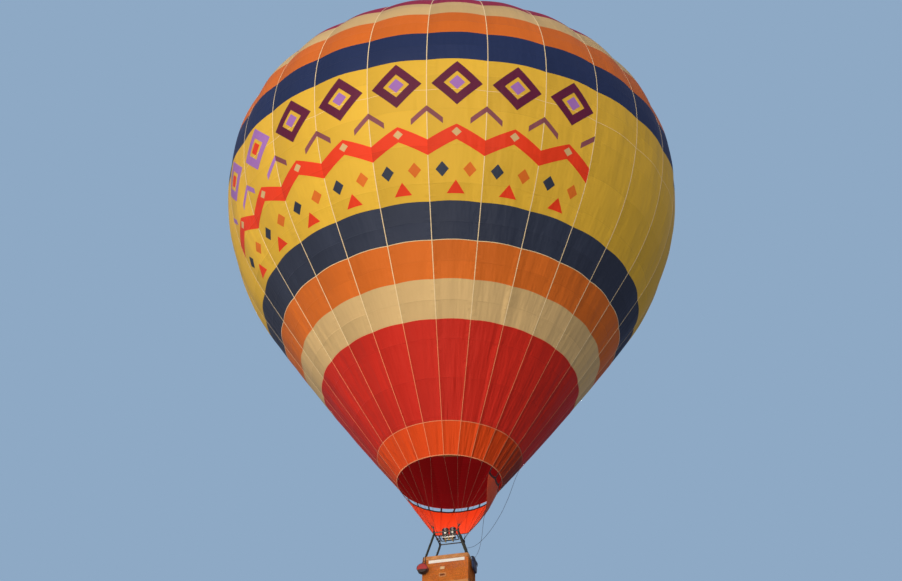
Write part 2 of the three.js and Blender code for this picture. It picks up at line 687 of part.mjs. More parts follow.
function addCylinders() {
  const outline = CYLINDER_OUTLINE.map(([r, z]) => new THREE.Vector2(r, z));
  const inset = WALL + CYLINDER.radius + CYLINDER.clearance;
  const x = BASKET_WIDTH / 2 - inset;
  const y = BASKET_DEPTH / 2 - inset;
  for (const [name, cx, cy] of [['front_left', -x, -y], ['back_left', -x, y], ['back_right', x, y]]) {
    add(`fuel_cylinder_${name}`, revolve(outline, 20).translate(cx, cy, FLOOR_TOP_Z + GAP), 'cylinder');
  }
}

// Bags hung on the outside of the basket and the blank name panel
function addBags() {
  const front = -BASKET_DEPTH / 2;
  const bag = new THREE.CylinderGeometry(RED_BAG.topR, RED_BAG.bottomR, RED_BAG.length, 18);
  bag.scale(1, 1, RED_BAG.flatten);
  bag.translate(-BASKET_WIDTH / 2 + RED_BAG.inset, front - RED_BAG.length / 2 - GAP, RED_BAG.z);
  add('red_bag', bag, 'redBag');
  const outline = roundedRectangle(BLUE_BAG.thickness, BLUE_BAG.length, BLUE_BAG.cornerR);
  const pouch = extrudeUp(outline, BLUE_BAG.bottomZ, BLUE_BAG.height, BLUE_BAG.bevel);
  pouch.translate(BASKET_WIDTH / 2 + RIM_PROUD + BLUE_BAG.thickness / 2 + GAP, BLUE_BAG.y, 0);
  add('blue_bag', pouch, 'blueBag');
  const { width, thickness, height, x, z } = NAME_PANEL;
  add('name_panel', box(width, thickness, height, x, front - thickness / 2 - GAP, z), 'banner');
}

// Free lines. Each is one smooth curve of a real length.
function lineGeometry(points, steps) {
  const section = new THREE.Shape();
  section.absarc(0, 0, LINE_R, 0, Math.PI * 2);
  const path = new THREE.CatmullRomCurve3(points, false, 'centripetal');
  return new THREE.ExtrudeGeometry(section, { steps, extrudePath: path, curveSegments: LINE_SIDES / 2 });
}

function addCrownLine() {
  const onDome = CROWN_LINE_ON_DOME.map((r) => domePoint(r, SPOKE_THICKNESS + LINE_R * 2));
  const onTape = CROWN_LINE_ON_TAPE.map((distance) => offsetProfile(distance, LINE_R * 2 + 1));
  const points = [
    ...[...onDome, ...onTape].map((point) => polar(point.x, CROWN_LINE_AZIMUTH, point.y)),
    ...CROWN_LINE_HANGING.map((point) => vector(...point)),
  ];
  add('crown_line', lineGeometry(points, CROWN_LINE_STEPS), 'rope');
}

function addHandlingLine() {
  add('handling_line', lineGeometry(HANDLING_LINE.map((point) => vector(...point)), HANDLING_LINE_STEPS), 'rope');
}

addEnvelope();
addValve();
addCrownTapes();
addFlyingWires();
addScoop();
addBurnerFrame();
addGimbal();
addBurner();
addUprights();
addBasket();
addCylinders();
addBags();
addCrownLine();
addHandlingLine();

export default SCENE;
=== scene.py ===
"""Hot air balloon: the finish, soft parts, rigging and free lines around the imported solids.

Metres, +Z up. The origin is the centre of the envelope at its widest circle, and -Y is the basket's front.
An azimuth is an angle about Z, 0 at -Y and 90 degrees at +X. A gore count of 0 is the first load tape.
"""

import math

import bpy
import numpy as np
from mathutils import Matrix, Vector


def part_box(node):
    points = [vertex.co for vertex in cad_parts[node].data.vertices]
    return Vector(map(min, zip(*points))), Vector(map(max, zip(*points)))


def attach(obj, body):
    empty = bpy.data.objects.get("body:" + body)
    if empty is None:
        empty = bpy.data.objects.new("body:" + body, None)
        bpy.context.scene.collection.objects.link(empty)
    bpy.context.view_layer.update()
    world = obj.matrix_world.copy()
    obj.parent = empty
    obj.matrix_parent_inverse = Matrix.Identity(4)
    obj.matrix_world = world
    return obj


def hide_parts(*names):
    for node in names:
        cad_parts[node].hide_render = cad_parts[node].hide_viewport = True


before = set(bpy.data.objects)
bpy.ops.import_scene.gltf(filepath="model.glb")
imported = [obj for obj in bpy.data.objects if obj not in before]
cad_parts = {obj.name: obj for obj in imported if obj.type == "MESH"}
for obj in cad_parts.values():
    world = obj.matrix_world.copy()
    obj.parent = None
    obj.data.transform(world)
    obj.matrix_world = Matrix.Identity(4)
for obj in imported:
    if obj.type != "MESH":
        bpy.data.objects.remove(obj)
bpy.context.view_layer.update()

bl_info = {
    "name": "Hot air balloon",
    "version": (1, 0, 0),
    "blender": (4, 5, 0),
    "location": "View3D > Sidebar > Balloon",
    "description": "Builds a balloon's cloth, rigging, burner and basket around its solids",
    "category": "Object",
}

TAU = 2 * math.pi
UP = np.array([0.0, 0.0, 1.0])
SHARP_ANGLE = math.radians(38)
BRASS = (0.6, 0.42, 0.16)
SUNLIGHT = (1.0, 0.87, 0.7)

# Map of the places on the cloth, and the finishes of a cloth shell's outside, inside and two edges
CLOTH_MAP = "Cloth"
CLOTH_SIDES = [0, 1, 0, 0]

# Last moment and pressure of the cloth simulation, and the finishes that several operators share
LAST_FRAME = 20
PRESSURE = 4.0
MADE = {}

# Envelope profile along a load tape, as in the solids
EQUATOR_R = 7.85
MOUTH_R = 1.746
MOUTH_Z = -11.736
SKIRT_TOP_ANGLE = math.radians(32)
LOWER_ARC_R = 9.05
UPPER_ARC_R = 5.49
UPPER_ARC_ANGLE = math.radians(54.7)
SHELL = 0.01
GORES = 24
FIRST_TAPE = math.radians(7.5)
GORE_ANGLE = TAU / GORES
LOWER_LOBE_DEPTH = 0.007
UPPER_LOBE_DEPTH = 0.018
LOBE_START_Z = -9.0
LOBE_DEEPENS_Z = (0.5, 4.0)
LOWER_ARC_CENTRE_R = EQUATOR_R - LOWER_ARC_R
UPPER_ARC_CENTRE_R = EQUATOR_R - UPPER_ARC_R
SKIRT_NORMAL = np.array([math.cos(SKIRT_TOP_ANGLE), -math.sin(SKIRT_TOP_ANGLE)])
SKIRT_TOP = np.array([LOWER_ARC_CENTRE_R, 0.0]) + LOWER_ARC_R * SKIRT_NORMAL
SKIRT_FALL = np.array([MOUTH_R, MOUTH_Z]) - SKIRT_TOP
SKIRT_R = -float(SKIRT_FALL @ SKIRT_FALL) / (2 * float(SKIRT_FALL @ SKIRT_NORMAL))
SKIRT_CENTRE = SKIRT_TOP - SKIRT_R * SKIRT_NORMAL
MOUTH_TILT = math.asin((MOUTH_Z - SKIRT_CENTRE[1]) / SKIRT_R)
SKIRT_LENGTH = SKIRT_R * (-SKIRT_TOP_ANGLE - MOUTH_TILT)
LOWER_ARC_LENGTH = LOWER_ARC_R * SKIRT_TOP_ANGLE
UPPER_ARC_LENGTH = UPPER_ARC_R * UPPER_ARC_ANGLE
CROWN_R = (EQUATOR_R - UPPER_ARC_R) / math.cos(UPPER_ARC_ANGLE) + UPPER_ARC_R
CROWN_CENTRE_Z = (UPPER_ARC_R - CROWN_R) * math.sin(UPPER_ARC_ANGLE)

# Distances up a load tape from the mouth
NOMEX_SEAM = 1.145
RED_TOP = 4.49
LOWER_TAPE = 7.09
YELLOW_TAPE = 12.25
CREAM_TOP = 17.0
VENT_TAPE = 21.99
VENT = 22.3

# Colour bands: node, lower seam, upper seam, colour
BANDS = [
    ("mouth_band", 0.0, NOMEX_SEAM, "nomex"),
    ("red_band", NOMEX_SEAM, RED_TOP, "red"),
    ("lower_cream_band", RED_TOP, 5.805, "cream"),
    ("lower_orange_band", 5.805, LOWER_TAPE, "orange"),
    ("lower_blue_band", LOWER_TAPE, 8.365, "navy"),
    ("yellow_lower_band", 8.365, 10.31, "yellow"),
    ("yellow_middle_band", 10.31, YELLOW_TAPE, "yellow"),
    ("yellow_upper_band", YELLOW_TAPE, 13.465, "yellow"),
    ("upper_blue_band", 13.465, 14.735, "blue"),
    ("upper_orange_band", 14.735, 15.95, "orange"),
    ("upper_cream_band", 15.95, CREAM_TOP, "cream"),
    ("shoulder_band", CREAM_TOP, 18.8, "crimson"),
    ("crown_lower_band", 18.8, 20.5, "crimson"),
    ("crown_band", 20.5, VENT, "crimson"),
]

# Crown, valve and lug
VALVE_OVERLAP = 0.26
CROWN_RING_R = 0.16
SPOKE_LIFT = 0.0005
SPOKE_THICKNESS = 0.008
SPOKE_OVERLAP = 0.18
LUG_SIZE = 0.026
CROWN_LINE_AZIMUTH = math.radians(157.5)

# Burner frame, uprights and basket
FRAME_Z = -13.85
FRAME_HALF = 0.41
SOCKET_HEIGHT = 0.12
LINK_RISE = 0.11
BASKET_WIDTH = 1.55
BASKET_DEPTH = 1.0
RIM_TOP_Z = -14.765
RIM_HEIGHT = 0.165
RIM_WIDTH = 0.11
RIM_PROUD = 0.015
WALL = 0.04
FLOOR_TOP_Z = -15.87
FOOT_HOLE_X = -0.094
FOOT_HOLE_Z = -15.508
FOOT_HOLE_WIDTH = 0.17
FOOT_HOLE_HEIGHT = 0.076
CORNERS = {"front_left": (-1, -1), "front_right": (1, -1), "back_right": (1, 1), "back_left": (-1, 1)}

# Scoop
SCOOP_START_TAPE = math.radians(-97.5)
SCOOP_GORES = 13
SCOOP_TURN = SCOOP_GORES * GORE_ANGLE
SCOOP_EDGE_SWING = math.radians(45)
SCOOP_EDGE_DEPTH = 0.85
SCOOP_CUT_MARGIN = 0.04
SCOOP_TOP_Z = MOUTH_Z - 0.16
SCOOP_HEM_Z = -13.4
SCOOP_STANDOFF = 0.0086
SCOOP_BELLY = 0.09

# Free lines, with the route of their solids
LINE_R = 0.006
LINE_END_GAP = 0.0006
CROWN_LINE_ON_DOME = np.array([CROWN_RING_R + LUG_SIZE / 2 + LINE_END_GAP, 0.9, 1.6, 2.3])
CROWN_LINE_ON_TAPE = [21.6, 21.0, 20.3, 19.4, 18.5, 17.6, 16.7, 15.8, 14.9, 14.0, 13.1, 12.2, 11.3, 10.4, 9.6]
CROWN_LINE_HANGING = [
    (2.387, 6.108, -4.9), (1.907, 5.359, -6.9), (1.344, 4.479, -8.931), (1.146, 3.82, -10.295),
    (0.983, 3.277, -11.26), (0.718, 2.395, -12.507), (0.481, 1.602, -13.343), (0.34, 0.95, -13.76),
    (0.436, 0.4524, -13.99),
]
HANDLING_LINE = [
    (1.15, 1.322, -11.738), (1.145, 1.32, -11.9), (1.055, 1.255, -12.18), (0.925, 1.185, -12.469),
    (0.893, 1.11, -12.85), (0.876, 1.05, -13.224), (0.856, 0.911, -13.663), (0.833, 0.717, -14.064),
    (0.772, 0.47, -14.45), (0.735, 0.318, -14.68), (0.735, 0.318, -14.7647),
]


def srgb(red, green, blue):
    """Linear colour of a screen colour given from 0 to 255."""
    parts = np.array([red, green, blue]) / 255
    linear = np.where(parts <= 0.04045, parts / 12.92, ((parts + 0.055) / 1.055) ** 2.4)
    return tuple(float(x) for x in linear)


def maker(kind, **fixed):
    """Function that makes one kind of setting from its name, its description and its default."""
    return lambda name, description, default, **more: kind(
        name=name, description=description, default=default, **fixed, **more
    )


colour_property = maker(bpy.props.FloatVectorProperty, subtype="COLOR", size=3, min=0, max=1)
length_property = maker(bpy.props.FloatProperty, min=0, unit="LENGTH")
angle_property = maker(bpy.props.FloatProperty, subtype="ANGLE")
number_property = maker(bpy.props.FloatProperty)
count_property = maker(bpy.props.IntProperty)


class EnvelopeSettings(bpy.types.PropertyGroup):
    """The envelope's cloth, tapes and colours."""

    columns: count_property("Columns", "Columns of faces in each gore", 12, min=4)
    row_height: length_property("Row height", "Height of a row of faces up the tape", 0.16)
    ripple: length_property("Ripple", "How far the cloth waves in and out", 0.006)
    tape_width: length_property("Tape width", "Width of a load tape", 0.028)
    tape_thickness: length_property("Tape thickness", "Thickness of a load tape", 0.002)
    panel_height: length_property("Panel height", "Height of a sewn panel up the tape", 1.28)
    nomex: colour_property("Mouth cloth", "Heat-proof cloth at the mouth", srgb(244, 84, 30))
    # Painted shade: dark red for the inside of the cloth at the mouth, seen up through the mouth
    mouth_inside: colour_property("Mouth inside", "Inside of the cloth at the mouth", srgb(140, 14, 20))
    red: colour_property("Red", "Red band", srgb(201, 44, 33))
    cream: colour_property("Cream", "Cream bands", srgb(208, 178, 126))
    orange: colour_property("Orange", "Orange bands", srgb(214, 110, 40))
    navy: colour_property("Navy", "Lower blue band", srgb(52, 60, 80))
    blue: colour_property("Blue", "Upper blue band", srgb(38, 52, 92))
    yellow: colour_property("Yellow", "Yellow band", srgb(220, 178, 60))
    crimson: colour_property("Crimson", "Crown and valve", srgb(160, 34, 72))
    tape: colour_property("Tape", "Load tapes and webbing", srgb(244, 222, 176))
    mouth_tape: colour_property("Mouth tape", "Tapes on the mouth and the red band", srgb(246, 158, 112))


class DesignSettings(bpy.types.PropertyGroup):
    """The sewn-on pattern of the yellow band."""

    plum: colour_property("Plum", "Large lozenges", srgb(96, 32, 62))
    mauve: colour_property("Mauve", "Chevrons", srgb(134, 78, 88))
    violet: colour_property("Violet", "Lozenges at the left end", srgb(160, 112, 190))
    ribbon: colour_property("Ribbon", "Zigzag", srgb(228, 62, 32))
    first_gore: count_property("First gore", "Gore where the pattern starts", -5, min=-GORES)
    last_gore: count_property("Last gore", "Gore where the pattern ends", 2, min=-GORES)


class RiggingSettings(bpy.types.PropertyGroup):
    """Wires, scoop and lines."""

    wire_radius: length_property("Wire radius", "Radius of a flying wire in its sleeve", 0.0045)
    # Painted light and shade: one cloth, brighter and redder inside and darker outside
    scoop: colour_property("Scoop", "Scoop cloth inside", srgb(250, 62, 10))
    scoop_outside: colour_property("Scoop outside", "Scoop cloth outside", srgb(214, 74, 30))
    hem: colour_property("Hem", "Scoop's top hem and its straps", srgb(74, 16, 30))
    cable: colour_property("Cable", "Flying wires", srgb(128, 76, 60))
    rope: colour_property("Rope", "Crown line and handling line", srgb(118, 132, 152))


class BurnerSettings(bpy.types.PropertyGroup):
    """Burner, gimbal and frame."""

    coil_turns: count_property("Coil turns", "Turns of each vaporiser coil", 10, min=3)
    coil_radius: length_property("Coil tube", "Radius of the coil's tube", 0.0085)
    jets: count_property("Jets", "Jets on each burner's ring", 20, min=6)
    grip: colour_property("Grip", "Valve levers", srgb(178, 30, 26))


class BasketSettings(bpy.types.PropertyGroup):
    """Wicker, suede, wood and the things in and on the basket."""

    stake_spacing: length_property("Stake spacing", "Distance between the upright canes", 0.046)
    strand_pitch: length_property("Strand pitch", "Height of one woven row", 0.011)
    wicker: colour_property("Wicker", "Varnished cane", srgb(222, 134, 50))
    suede: colour_property("Suede", "Rim and scuff leather", srgb(190, 128, 72))
    patch: colour_property("Patch", "Pale leather", srgb(206, 176, 132))
    sleeve: colour_property("Sleeve", "Padded uprights", srgb(44, 52, 44))
    red_bag: colour_property("Red bag", "Round bag", srgb(178, 40, 44))
    blue_bag: colour_property("Blue bag", "Bag on the right side", srgb(34, 58, 106))
    strip: colour_property("Name strip", "Blank cloth strip", srgb(240, 237, 230))


class StageSettings(bpy.types.PropertyGroup):
    """Camera, light and floor."""

    distance: length_property("Distance", "Camera's distance from the axis over the floor", 92)
    azimuth: angle_property("Azimuth", "Camera's azimuth", math.radians(13.9))
    pitch: angle_property("Pitch", "How far the camera looks up", math.radians(34.316))
    roll: angle_property("Roll", "Camera's turn about its own line of sight", math.radians(0.447))
    camera_drop: length_property("Camera drop", "Camera's depth under the widest circle", 66.78)
    eye_height: length_property("Eye height", "Camera's height over the floor", 1.6)
    lens: number_property("Lens", "Focal length in millimetres", 128.03)
    sun_azimuth: angle_property("Light azimuth", "Where the main light comes from", math.radians(-4))
    sun_height: angle_property("Light height", "Main light's height", math.radians(-5))
    sun_spread: angle_property("Light spread", "Angle that the main light fills", math.radians(80))
    sun_strength: number_property("Light strength", "Main light", 4.0)
    side_strength: number_property("Side light", "Light on the left side", 0.7)
    back_strength: number_property("Back light", "Light on the far side", 2.2)
    backdrop: colour_property("Backdrop", "Plain backdrop", srgb(142, 169, 197))
    fill_above: colour_property("Fill from above", "Soft light from above", (0.08, 0.11, 0.2))
    fill_below: colour_property("Fill from below", "Soft light from below", (0.045, 0.045, 0.055))


def around(count):
    """Even angles round a circle."""
    return np.arange(count) * TAU / count


def circle(sides, radius=1.0):
    """Outline of a round section."""
    turn = around(sides)
    return radius * np.stack([np.cos(turn), np.sin(turn)], -1)


def squared(sides, power):
    """Outline between a circle and a square, squarer with a lower power."""
    outline = circle(sides)
    return np.sign(outline) * np.abs(outline) ** power


def lifted(outline, height):
    """Outline laid flat at a height."""
    return np.column_stack([outline, np.full(len(outline), height)])


def rounded_box_section(width, height, radius, steps=3):
    """Outline of a rectangle with round corners, counterclockwise."""
    quarter = np.linspace(0, math.pi / 2, steps + 1)
    corners = []
    for index, (x, y) in enumerate([(1, 1), (-1, 1), (-1, -1), (1, -1)]):
        turn = quarter + index * math.pi / 2
        middle = np.array([x * (width / 2 - radius), y * (height / 2 - radius)])
        corners.append(middle + radius * np.stack([np.cos(turn), np.sin(turn)], -1))
    return np.concatenate(corners)


def unit(vectors):
    """Vectors scaled to length 1."""
    return vectors / np.maximum(np.linalg.norm(vectors, axis=-1, keepdims=True), 1e-12)


def frames_along(path, closed=False, up=None):
    """Tangent, side and up at each point of a path. With no up given, they turn as little as possible."""
    before, after = np.roll(path, 1, 0), np.roll(path, -1, 0)
    if not closed:
        before[0], after[-1] = path[0], path[-1]
    tangent = unit(after - before)
    if up is not None:
        side = unit(np.cross(np.broadcast_to(up, tangent.shape), tangent))
        return tangent, side, np.cross(tangent, side)
    side = np.empty_like(tangent)
    start = np.eye(3)[np.argmin(np.abs(tangent[0]))]
    side[0] = unit(np.cross(start, tangent[0]))
    for i in range(1, len(path)):
        side[i] = unit(side[i - 1] - tangent[i] * (side[i - 1] @ tangent[i]))
    return tangent, side, np.cross(tangent, side)


def tube_faces(rings, corners, closed=False):
    """Faces between rings of points, and the two end faces, if it has ends."""
    i = np.arange(rings if closed else rings - 1)[:, None]
    j = np.arange(corners)[None]
    after, beyond = (i + 1) % rings, (j + 1) % corners
    quads = [i * corners + j, i * corners + beyond, after * corners + beyond, after * corners + j]
    ends = [] if closed else [j[:, ::-1], (rings - 1) * corners + j]
    return [np.stack(quads, -1).reshape(-1, 4), *ends]


def sweep(path, section, closed=False, up=None, scale=1.0):
    """Section carried along a path: points, side faces and the two end faces, if it has ends."""
    path = np.asarray(path, float)
    _, side, upward = frames_along(path, closed, up)
    size = np.broadcast_to(scale, len(path))[:, None, None]
    across, over = section[None, :, :1], section[None, :, 1:]
    points = path[:, None] + size * (across * side[:, None] + over * upward[:, None])
    return points.reshape(-1, 3), *tube_faces(*points.shape[:2], closed)


def rod(start, end, radius, sides=12):
    """Round bar between two points."""
    return sweep([start, end], circle(sides, radius))


def strap(path, width, thickness, up, corner=0.001, closed=False):
    """Flat strap along a path."""
    return sweep(path, rounded_box_section(width, thickness, corner, 1), closed, up)


def ring(centre, radius, bar, axis=UP, steps=32, sides=8):
    """Round ring about an axis."""
    direction = unit(np.array(axis, float))
    first = unit(np.cross(direction, np.eye(3)[np.argmin(np.abs(direction))]))
    turn = around(steps)[:, None]
    second = np.cross(direction, first)
    path = np.asarray(centre, float) + radius * (np.cos(turn) * first + np.sin(turn) * second)
    return sweep(path, circle(sides, bar), closed=True)


def block(size, centre, radius):
    """Box with all its edges rounded."""
    steps = 2
    width, depth, height = size
    rise = height / 2 - radius
    turn = np.linspace(0, math.pi / 2, steps + 1)
    levels = [(-rise - radius * math.cos(t), radius * (1 - math.sin(t))) for t in turn]
    levels += [(rise + radius * math.sin(t), radius * (1 - math.cos(t))) for t in turn]
    rings = []
    for level, inset in levels:
        corner = max(radius - inset, radius * 0.05)
        rings.append(lifted(rounded_box_section(width - 2 * inset, depth - 2 * inset, corner, steps), level))
    return np.concatenate(rings) + np.asarray(centre), *tube_faces(len(rings), len(rings[0]))


def lathe(outline, centre=(0, 0, 0), segments=32, axis="Z"):
    """Solid of revolution. The outline runs up the axis as (radius, height), with flat ends."""
    radius, height = np.asarray(outline, float).T[:, :, None]
    turn = around(segments)
    points = np.stack(np.broadcast_arrays(radius * np.cos(turn), radius * np.sin(turn), height), -1)
    points = points.reshape(-1, 3)
    if axis == "Y":
        points = points[:, [0, 2, 1]] * [1, -1, 1]
    return points + np.asarray(centre), *tube_faces(len(radius), segments)


def shell(outer, inner, wrap=False):
    """Closed shell between two grids: its points, its faces and the grid corner of each face corner."""
    rows, columns = outer.shape[:2]
    spans = columns if wrap else columns - 1
    i, j = (a.ravel() for a in np.mgrid[0 : rows - 1, 0:spans])
    across, up = np.arange(spans), np.arange(rows - 1)
    first, last = np.zeros(spans, int), np.full(spans, rows - 1)
    left, right = np.zeros(rows - 1, int), np.full(rows - 1, columns - 1)
    loops = [
        [(i, j, 0), (i, j + 1, 0), (i + 1, j + 1, 0), (i + 1, j, 0)],
        [(i + 1, j, 1), (i + 1, j + 1, 1), (i, j + 1, 1), (i, j, 1)],
        [(first, across, 0), (first, across, 1), (first, across + 1, 1), (first, across + 1, 0)],
        [(last, across, 0), (last, across + 1, 0), (last, across + 1, 1), (last, across, 1)],
    ]
    if not wrap:
        loops.append([(up, left, 0), (up + 1, left, 0), (up + 1, left, 1), (up, left, 1)])
        loops.append([(up, right, 0), (up, right, 1), (up + 1, right, 1), (up + 1, right, 0)])
    faces = [np.stack([(k * rows + a) * columns + b % columns for a, b, k in loop], -1) for loop in loops]
    grid = [np.stack([np.stack([a, b], -1) for a, b, _ in loop], 1) for loop in loops]
    return np.concatenate([outer.reshape(-1, 3), inner.reshape(-1, 3)]), faces, grid


def spline(points, step):
    """Points about a step apart on a centripetal Catmull-Rom curve, as in the solids of the lines."""
    knots = np.asarray(points, float)
    knots = np.concatenate([[2 * knots[0] - knots[1]], knots, [2 * knots[-1] - knots[-2]]])
    made = []
    for k in range(1, len(knots) - 2):
        a, b, c, d = knots[k - 1 : k + 3]
        before, along, after = (math.sqrt(np.linalg.norm(q - p)) for p, q in ((a, b), (b, c), (c, d)))
        start = ((b - a) / before - (c - a) / (before + along) + (c - b) / along) * along
        end = ((c - b) / along - (d - b) / (along + after) + (d - c) / after) * along
        count = max(2, round(np.linalg.norm(c - b) / step))
        t = (np.arange(count) / count)[:, None]
        made.append(
            b + start * t + (3 * (c - b) - 2 * start - end) * t**2 + (2 * (b - c) + start + end) * t**3
        )
    return np.concatenate([*made, knots[-2:-1]])


class Batch:
    """Shapes that become one mesh. A mark says which material the faces of a shape have."""

    def __init__(self):
        """Starts with no shapes."""
        self.points = []
        self.faces = []
        self.marks = []
        self.cloth = []
        self.count = 0

    def add(self, points, *face_sets, mark=0, cloth=None):
        """Adds a shape. cloth holds one (gore, metres up) pair for each face corner."""
        for index, faces in enumerate(face_sets):
            self.faces.append(np.asarray(faces) + self.count)
            marks = mark[index] if isinstance(mark, (list, tuple)) else mark
            self.marks.append(np.full(len(faces), marks))
            if cloth is not None:
                self.cloth.append(cloth[index].reshape(-1, 2))
        self.points.append(points)
        self.count += len(points)
        return self

    def piece(self, name, materials, slot=None, replaces=(), body="root", place=(0, 0, 0)):
        """The joined mesh as an object that rides on a body. place is where the shapes' zero point goes."""
        points = np.concatenate(self.points) + place
        corners = np.concatenate([f.ravel() for f in self.faces])
        sizes = np.concatenate([np.full(f.shape[0], f.shape[1]) for f in self.faces])
        mesh = bpy.data.meshes.new(name)
        mesh.vertices.add(len(points))
        mesh.vertices.foreach_set("co", points.astype(np.float32).ravel())
        mesh.loops.add(len(corners))
        mesh.loops.foreach_set("vertex_index", corners.astype(np.int32))
        mesh.polygons.add(len(sizes))
        mesh.polygons.foreach_set("loop_start", (np.cumsum(sizes) - sizes).astype(np.int32))
        mesh.polygons.foreach_set("material_index", np.concatenate(self.marks).astype(np.int32))
        for material in materials:
            mesh.materials.append(material)
        mesh.update(calc_edges=True)
        if self.cloth:
            layer = mesh.uv_layers.new(name=CLOTH_MAP)
            layer.data.foreach_set("uv", np.concatenate(self.cloth).astype(np.float32).ravel())
        mesh.shade_smooth()
        mesh.set_sharp_from_angle(angle=SHARP_ANGLE)
        piece = bpy.data.objects.new(name, mesh)
        bpy.context.scene.collection.objects.link(piece)
        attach(piece, body)
        if replaces:
            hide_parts(*replaces)
        return piece


def smoothstep(value, low, high):
    """0 below low, 1 above high, and a smooth rise between them."""
    t = np.clip((value - low) / (high - low), 0, 1)
    return t * t * (3 - 2 * t)


def profile(distance):
    """Radius, height and tilt of the envelope at distances up a load tape."""
    d = np.asarray(distance, float)
    on_lower = d - SKIRT_LENGTH
    on_upper = on_lower - LOWER_ARC_LENGTH
    on_crown = on_upper - UPPER_ARC_LENGTH
    where = [on_lower < 0, on_upper < 0, on_crown < 0]
    tilt = np.select(
        where,
        [MOUTH_TILT + d / SKIRT_R, on_lower / LOWER_ARC_R - SKIRT_TOP_ANGLE, on_upper / UPPER_ARC_R],
        UPPER_ARC_ANGLE + on_crown / CROWN_R,
    )
    arc = np.select(where, [SKIRT_R, LOWER_ARC_R, UPPER_ARC_R], CROWN_R)
    centre_r = np.select(where, [SKIRT_CENTRE[0], LOWER_ARC_CENTRE_R, UPPER_ARC_CENTRE_R], 0.0)
    centre_z = np.select(where, [SKIRT_CENTRE[1], 0.0, 0.0], CROWN_CENTRE_Z)
    return centre_r + arc * np.cos(tilt), centre_z + arc * np.sin(tilt), tilt


def bulge(gore):
    """0 on the tapes and 1 in the middle of a gore."""
    return np.sin(math.pi * (gore % 1.0))


def lobe(height, gore):
    """How far a gore bulges between its tapes, as a factor on the radius."""
    low = smoothstep(height, MOUTH_Z, LOBE_START_Z)
    high = 1 - smoothstep(height, float(profile(CREAM_TOP)[1]), float(profile(VENT_TAPE)[1]))
    depth = LOWER_LOBE_DEPTH + (UPPER_LOBE_DEPTH - LOWER_LOBE_DEPTH) * smoothstep(height, *LOBE_DEEPENS_Z)
    return 1 + depth * low * high * bulge(gore)


def ripple(gore, distance, depth):
    """Low waves in the cloth, none on the tapes, at the mouth and at the vent."""
    calm = bulge(gore) * smoothstep(distance, 0, 1.2) * (1 - smoothstep(distance, 20.5, VENT_TAPE))
    turn = gore * GORE_ANGLE
    waves = np.sin(31 * turn + 2.3 * distance) + np.sin(17 * turn - 3.7 * distance + 1.3)
    waves = waves + 0.8 * np.sin(5.3 * distance + 3 * np.sin(7 * turn))
    return depth * calm * (waves - 0.6 * np.sin(47 * turn - 1.1 * distance)) / 2


def polar(radius, azimuth, height):
    """Points at radii, azimuths and heights."""
    return np.stack(np.broadcast_arrays(radius * np.sin(azimuth), -radius * np.cos(azimuth), height), -1)


def outward(azimuth):
    """Level direction of length 1 at an azimuth."""
    return polar(1.0, azimuth, 0.0)


def on_envelope(gore, distance, offset=0.0, depth=0.0):
    """Points of the cloth at gore counts and distances up the tape, moved out by an offset."""
    radius, height, tilt = profile(distance)
    out = offset + ripple(gore, distance, depth)
    return polar(
        radius * lobe(height, gore) + out * np.cos(tilt),
        FIRST_TAPE + gore * GORE_ANGLE,
        height + out * np.sin(tilt),
    )


def dome_height(radius):
    """Height of the crown's dome inside the vent."""
    return CROWN_CENTRE_Z + np.sqrt(CROWN_R**2 - np.asarray(radius, float) ** 2)


def corner_of(azimuth):
    """Corner of the burner frame that the load at an azimuth runs to."""
    angle = np.mod(azimuth, TAU)
    x = np.where(angle < math.pi, 1, -1)
    y = np.where((angle > math.pi / 2) & (angle < 3 * math.pi / 2), 1, -1)
    return np.stack([x * FRAME_HALF, y * FRAME_HALF, np.full(x.shape, FRAME_Z + LINK_RISE)], -1)


def wire_point(azimuth, height):
    """Points of the cone of flying wires at azimuths of the mouth and heights."""
    azimuth, height = np.broadcast_arrays(azimuth, height)
    tape = (azimuth - FIRST_TAPE) / GORE_ANGLE
    lower = np.floor(tape + 1e-6)
    ends = []
    for k in (lower, lower + 1):
        at = FIRST_TAPE + k * GORE_ANGLE
        corner = corner_of(at)
        mouth = polar(MOUTH_R, at, MOUTH_Z)
        share = (height - corner[..., 2]) / (MOUTH_Z - corner[..., 2])
        ends.append(corner + (mouth - corner) * share[..., None])
    between = (tape - lower)[..., None]
    return ends[0] * (1 - between) + ends[1] * between


def feed(tree, sockets, inputs):
    """Joins inputs to sockets or gives them values. A name may be written with underscores."""
    for key, value in inputs.items():
        socket = sockets[key.replace("_", " ") if isinstance(key, str) else key]
        if isinstance(value, bpy.types.NodeSocket):
            tree.links.new(value, socket)
        else:
            socket.default_value = (*value, 1) if socket.type == "RGBA" else value


def node(tree, kind, inputs=None, **settings):
    """Node with its settings, and inputs that are sockets to join or values."""
    made = tree.nodes.new(kind)
    for key, value in settings.items():
        setattr(made, key, value)
    feed(tree, made.inputs, inputs or {})
    return made


def maths(tree, operation, first, second=0.0, third=0.0, clamp=False):
    """Math node's answer."""
    inputs = {0: first, 1: second, 2: third}
    return node(tree, "ShaderNodeMath", inputs, operation=operation, use_clamp=clamp).outputs[0]


def noise(tree, vector, scale, detail=3.0, distortion=0.0):
    """Noise texture's mask."""
    inputs = {"Vector": vector, "Scale": scale, "Detail": detail, "Distortion": distortion}
    return node(tree, "ShaderNodeTexNoise", inputs).outputs["Fac"]


def scaled(tree, vector, factor):
    """Vector or colour times a number."""
    return node(tree, "ShaderNodeVectorMath", {0: vector, "Scale": factor}, operation="SCALE").outputs[0]


def parts_of(tree, vector):
    """X, Y and Z of a vector."""
    return node(tree, "ShaderNodeSeparateXYZ", {0: vector}).outputs


def combined(tree, x, y):
    """Vector of two values."""
    return node(tree, "ShaderNodeCombineXYZ", {"X": x, "Y": y}).outputs[0]


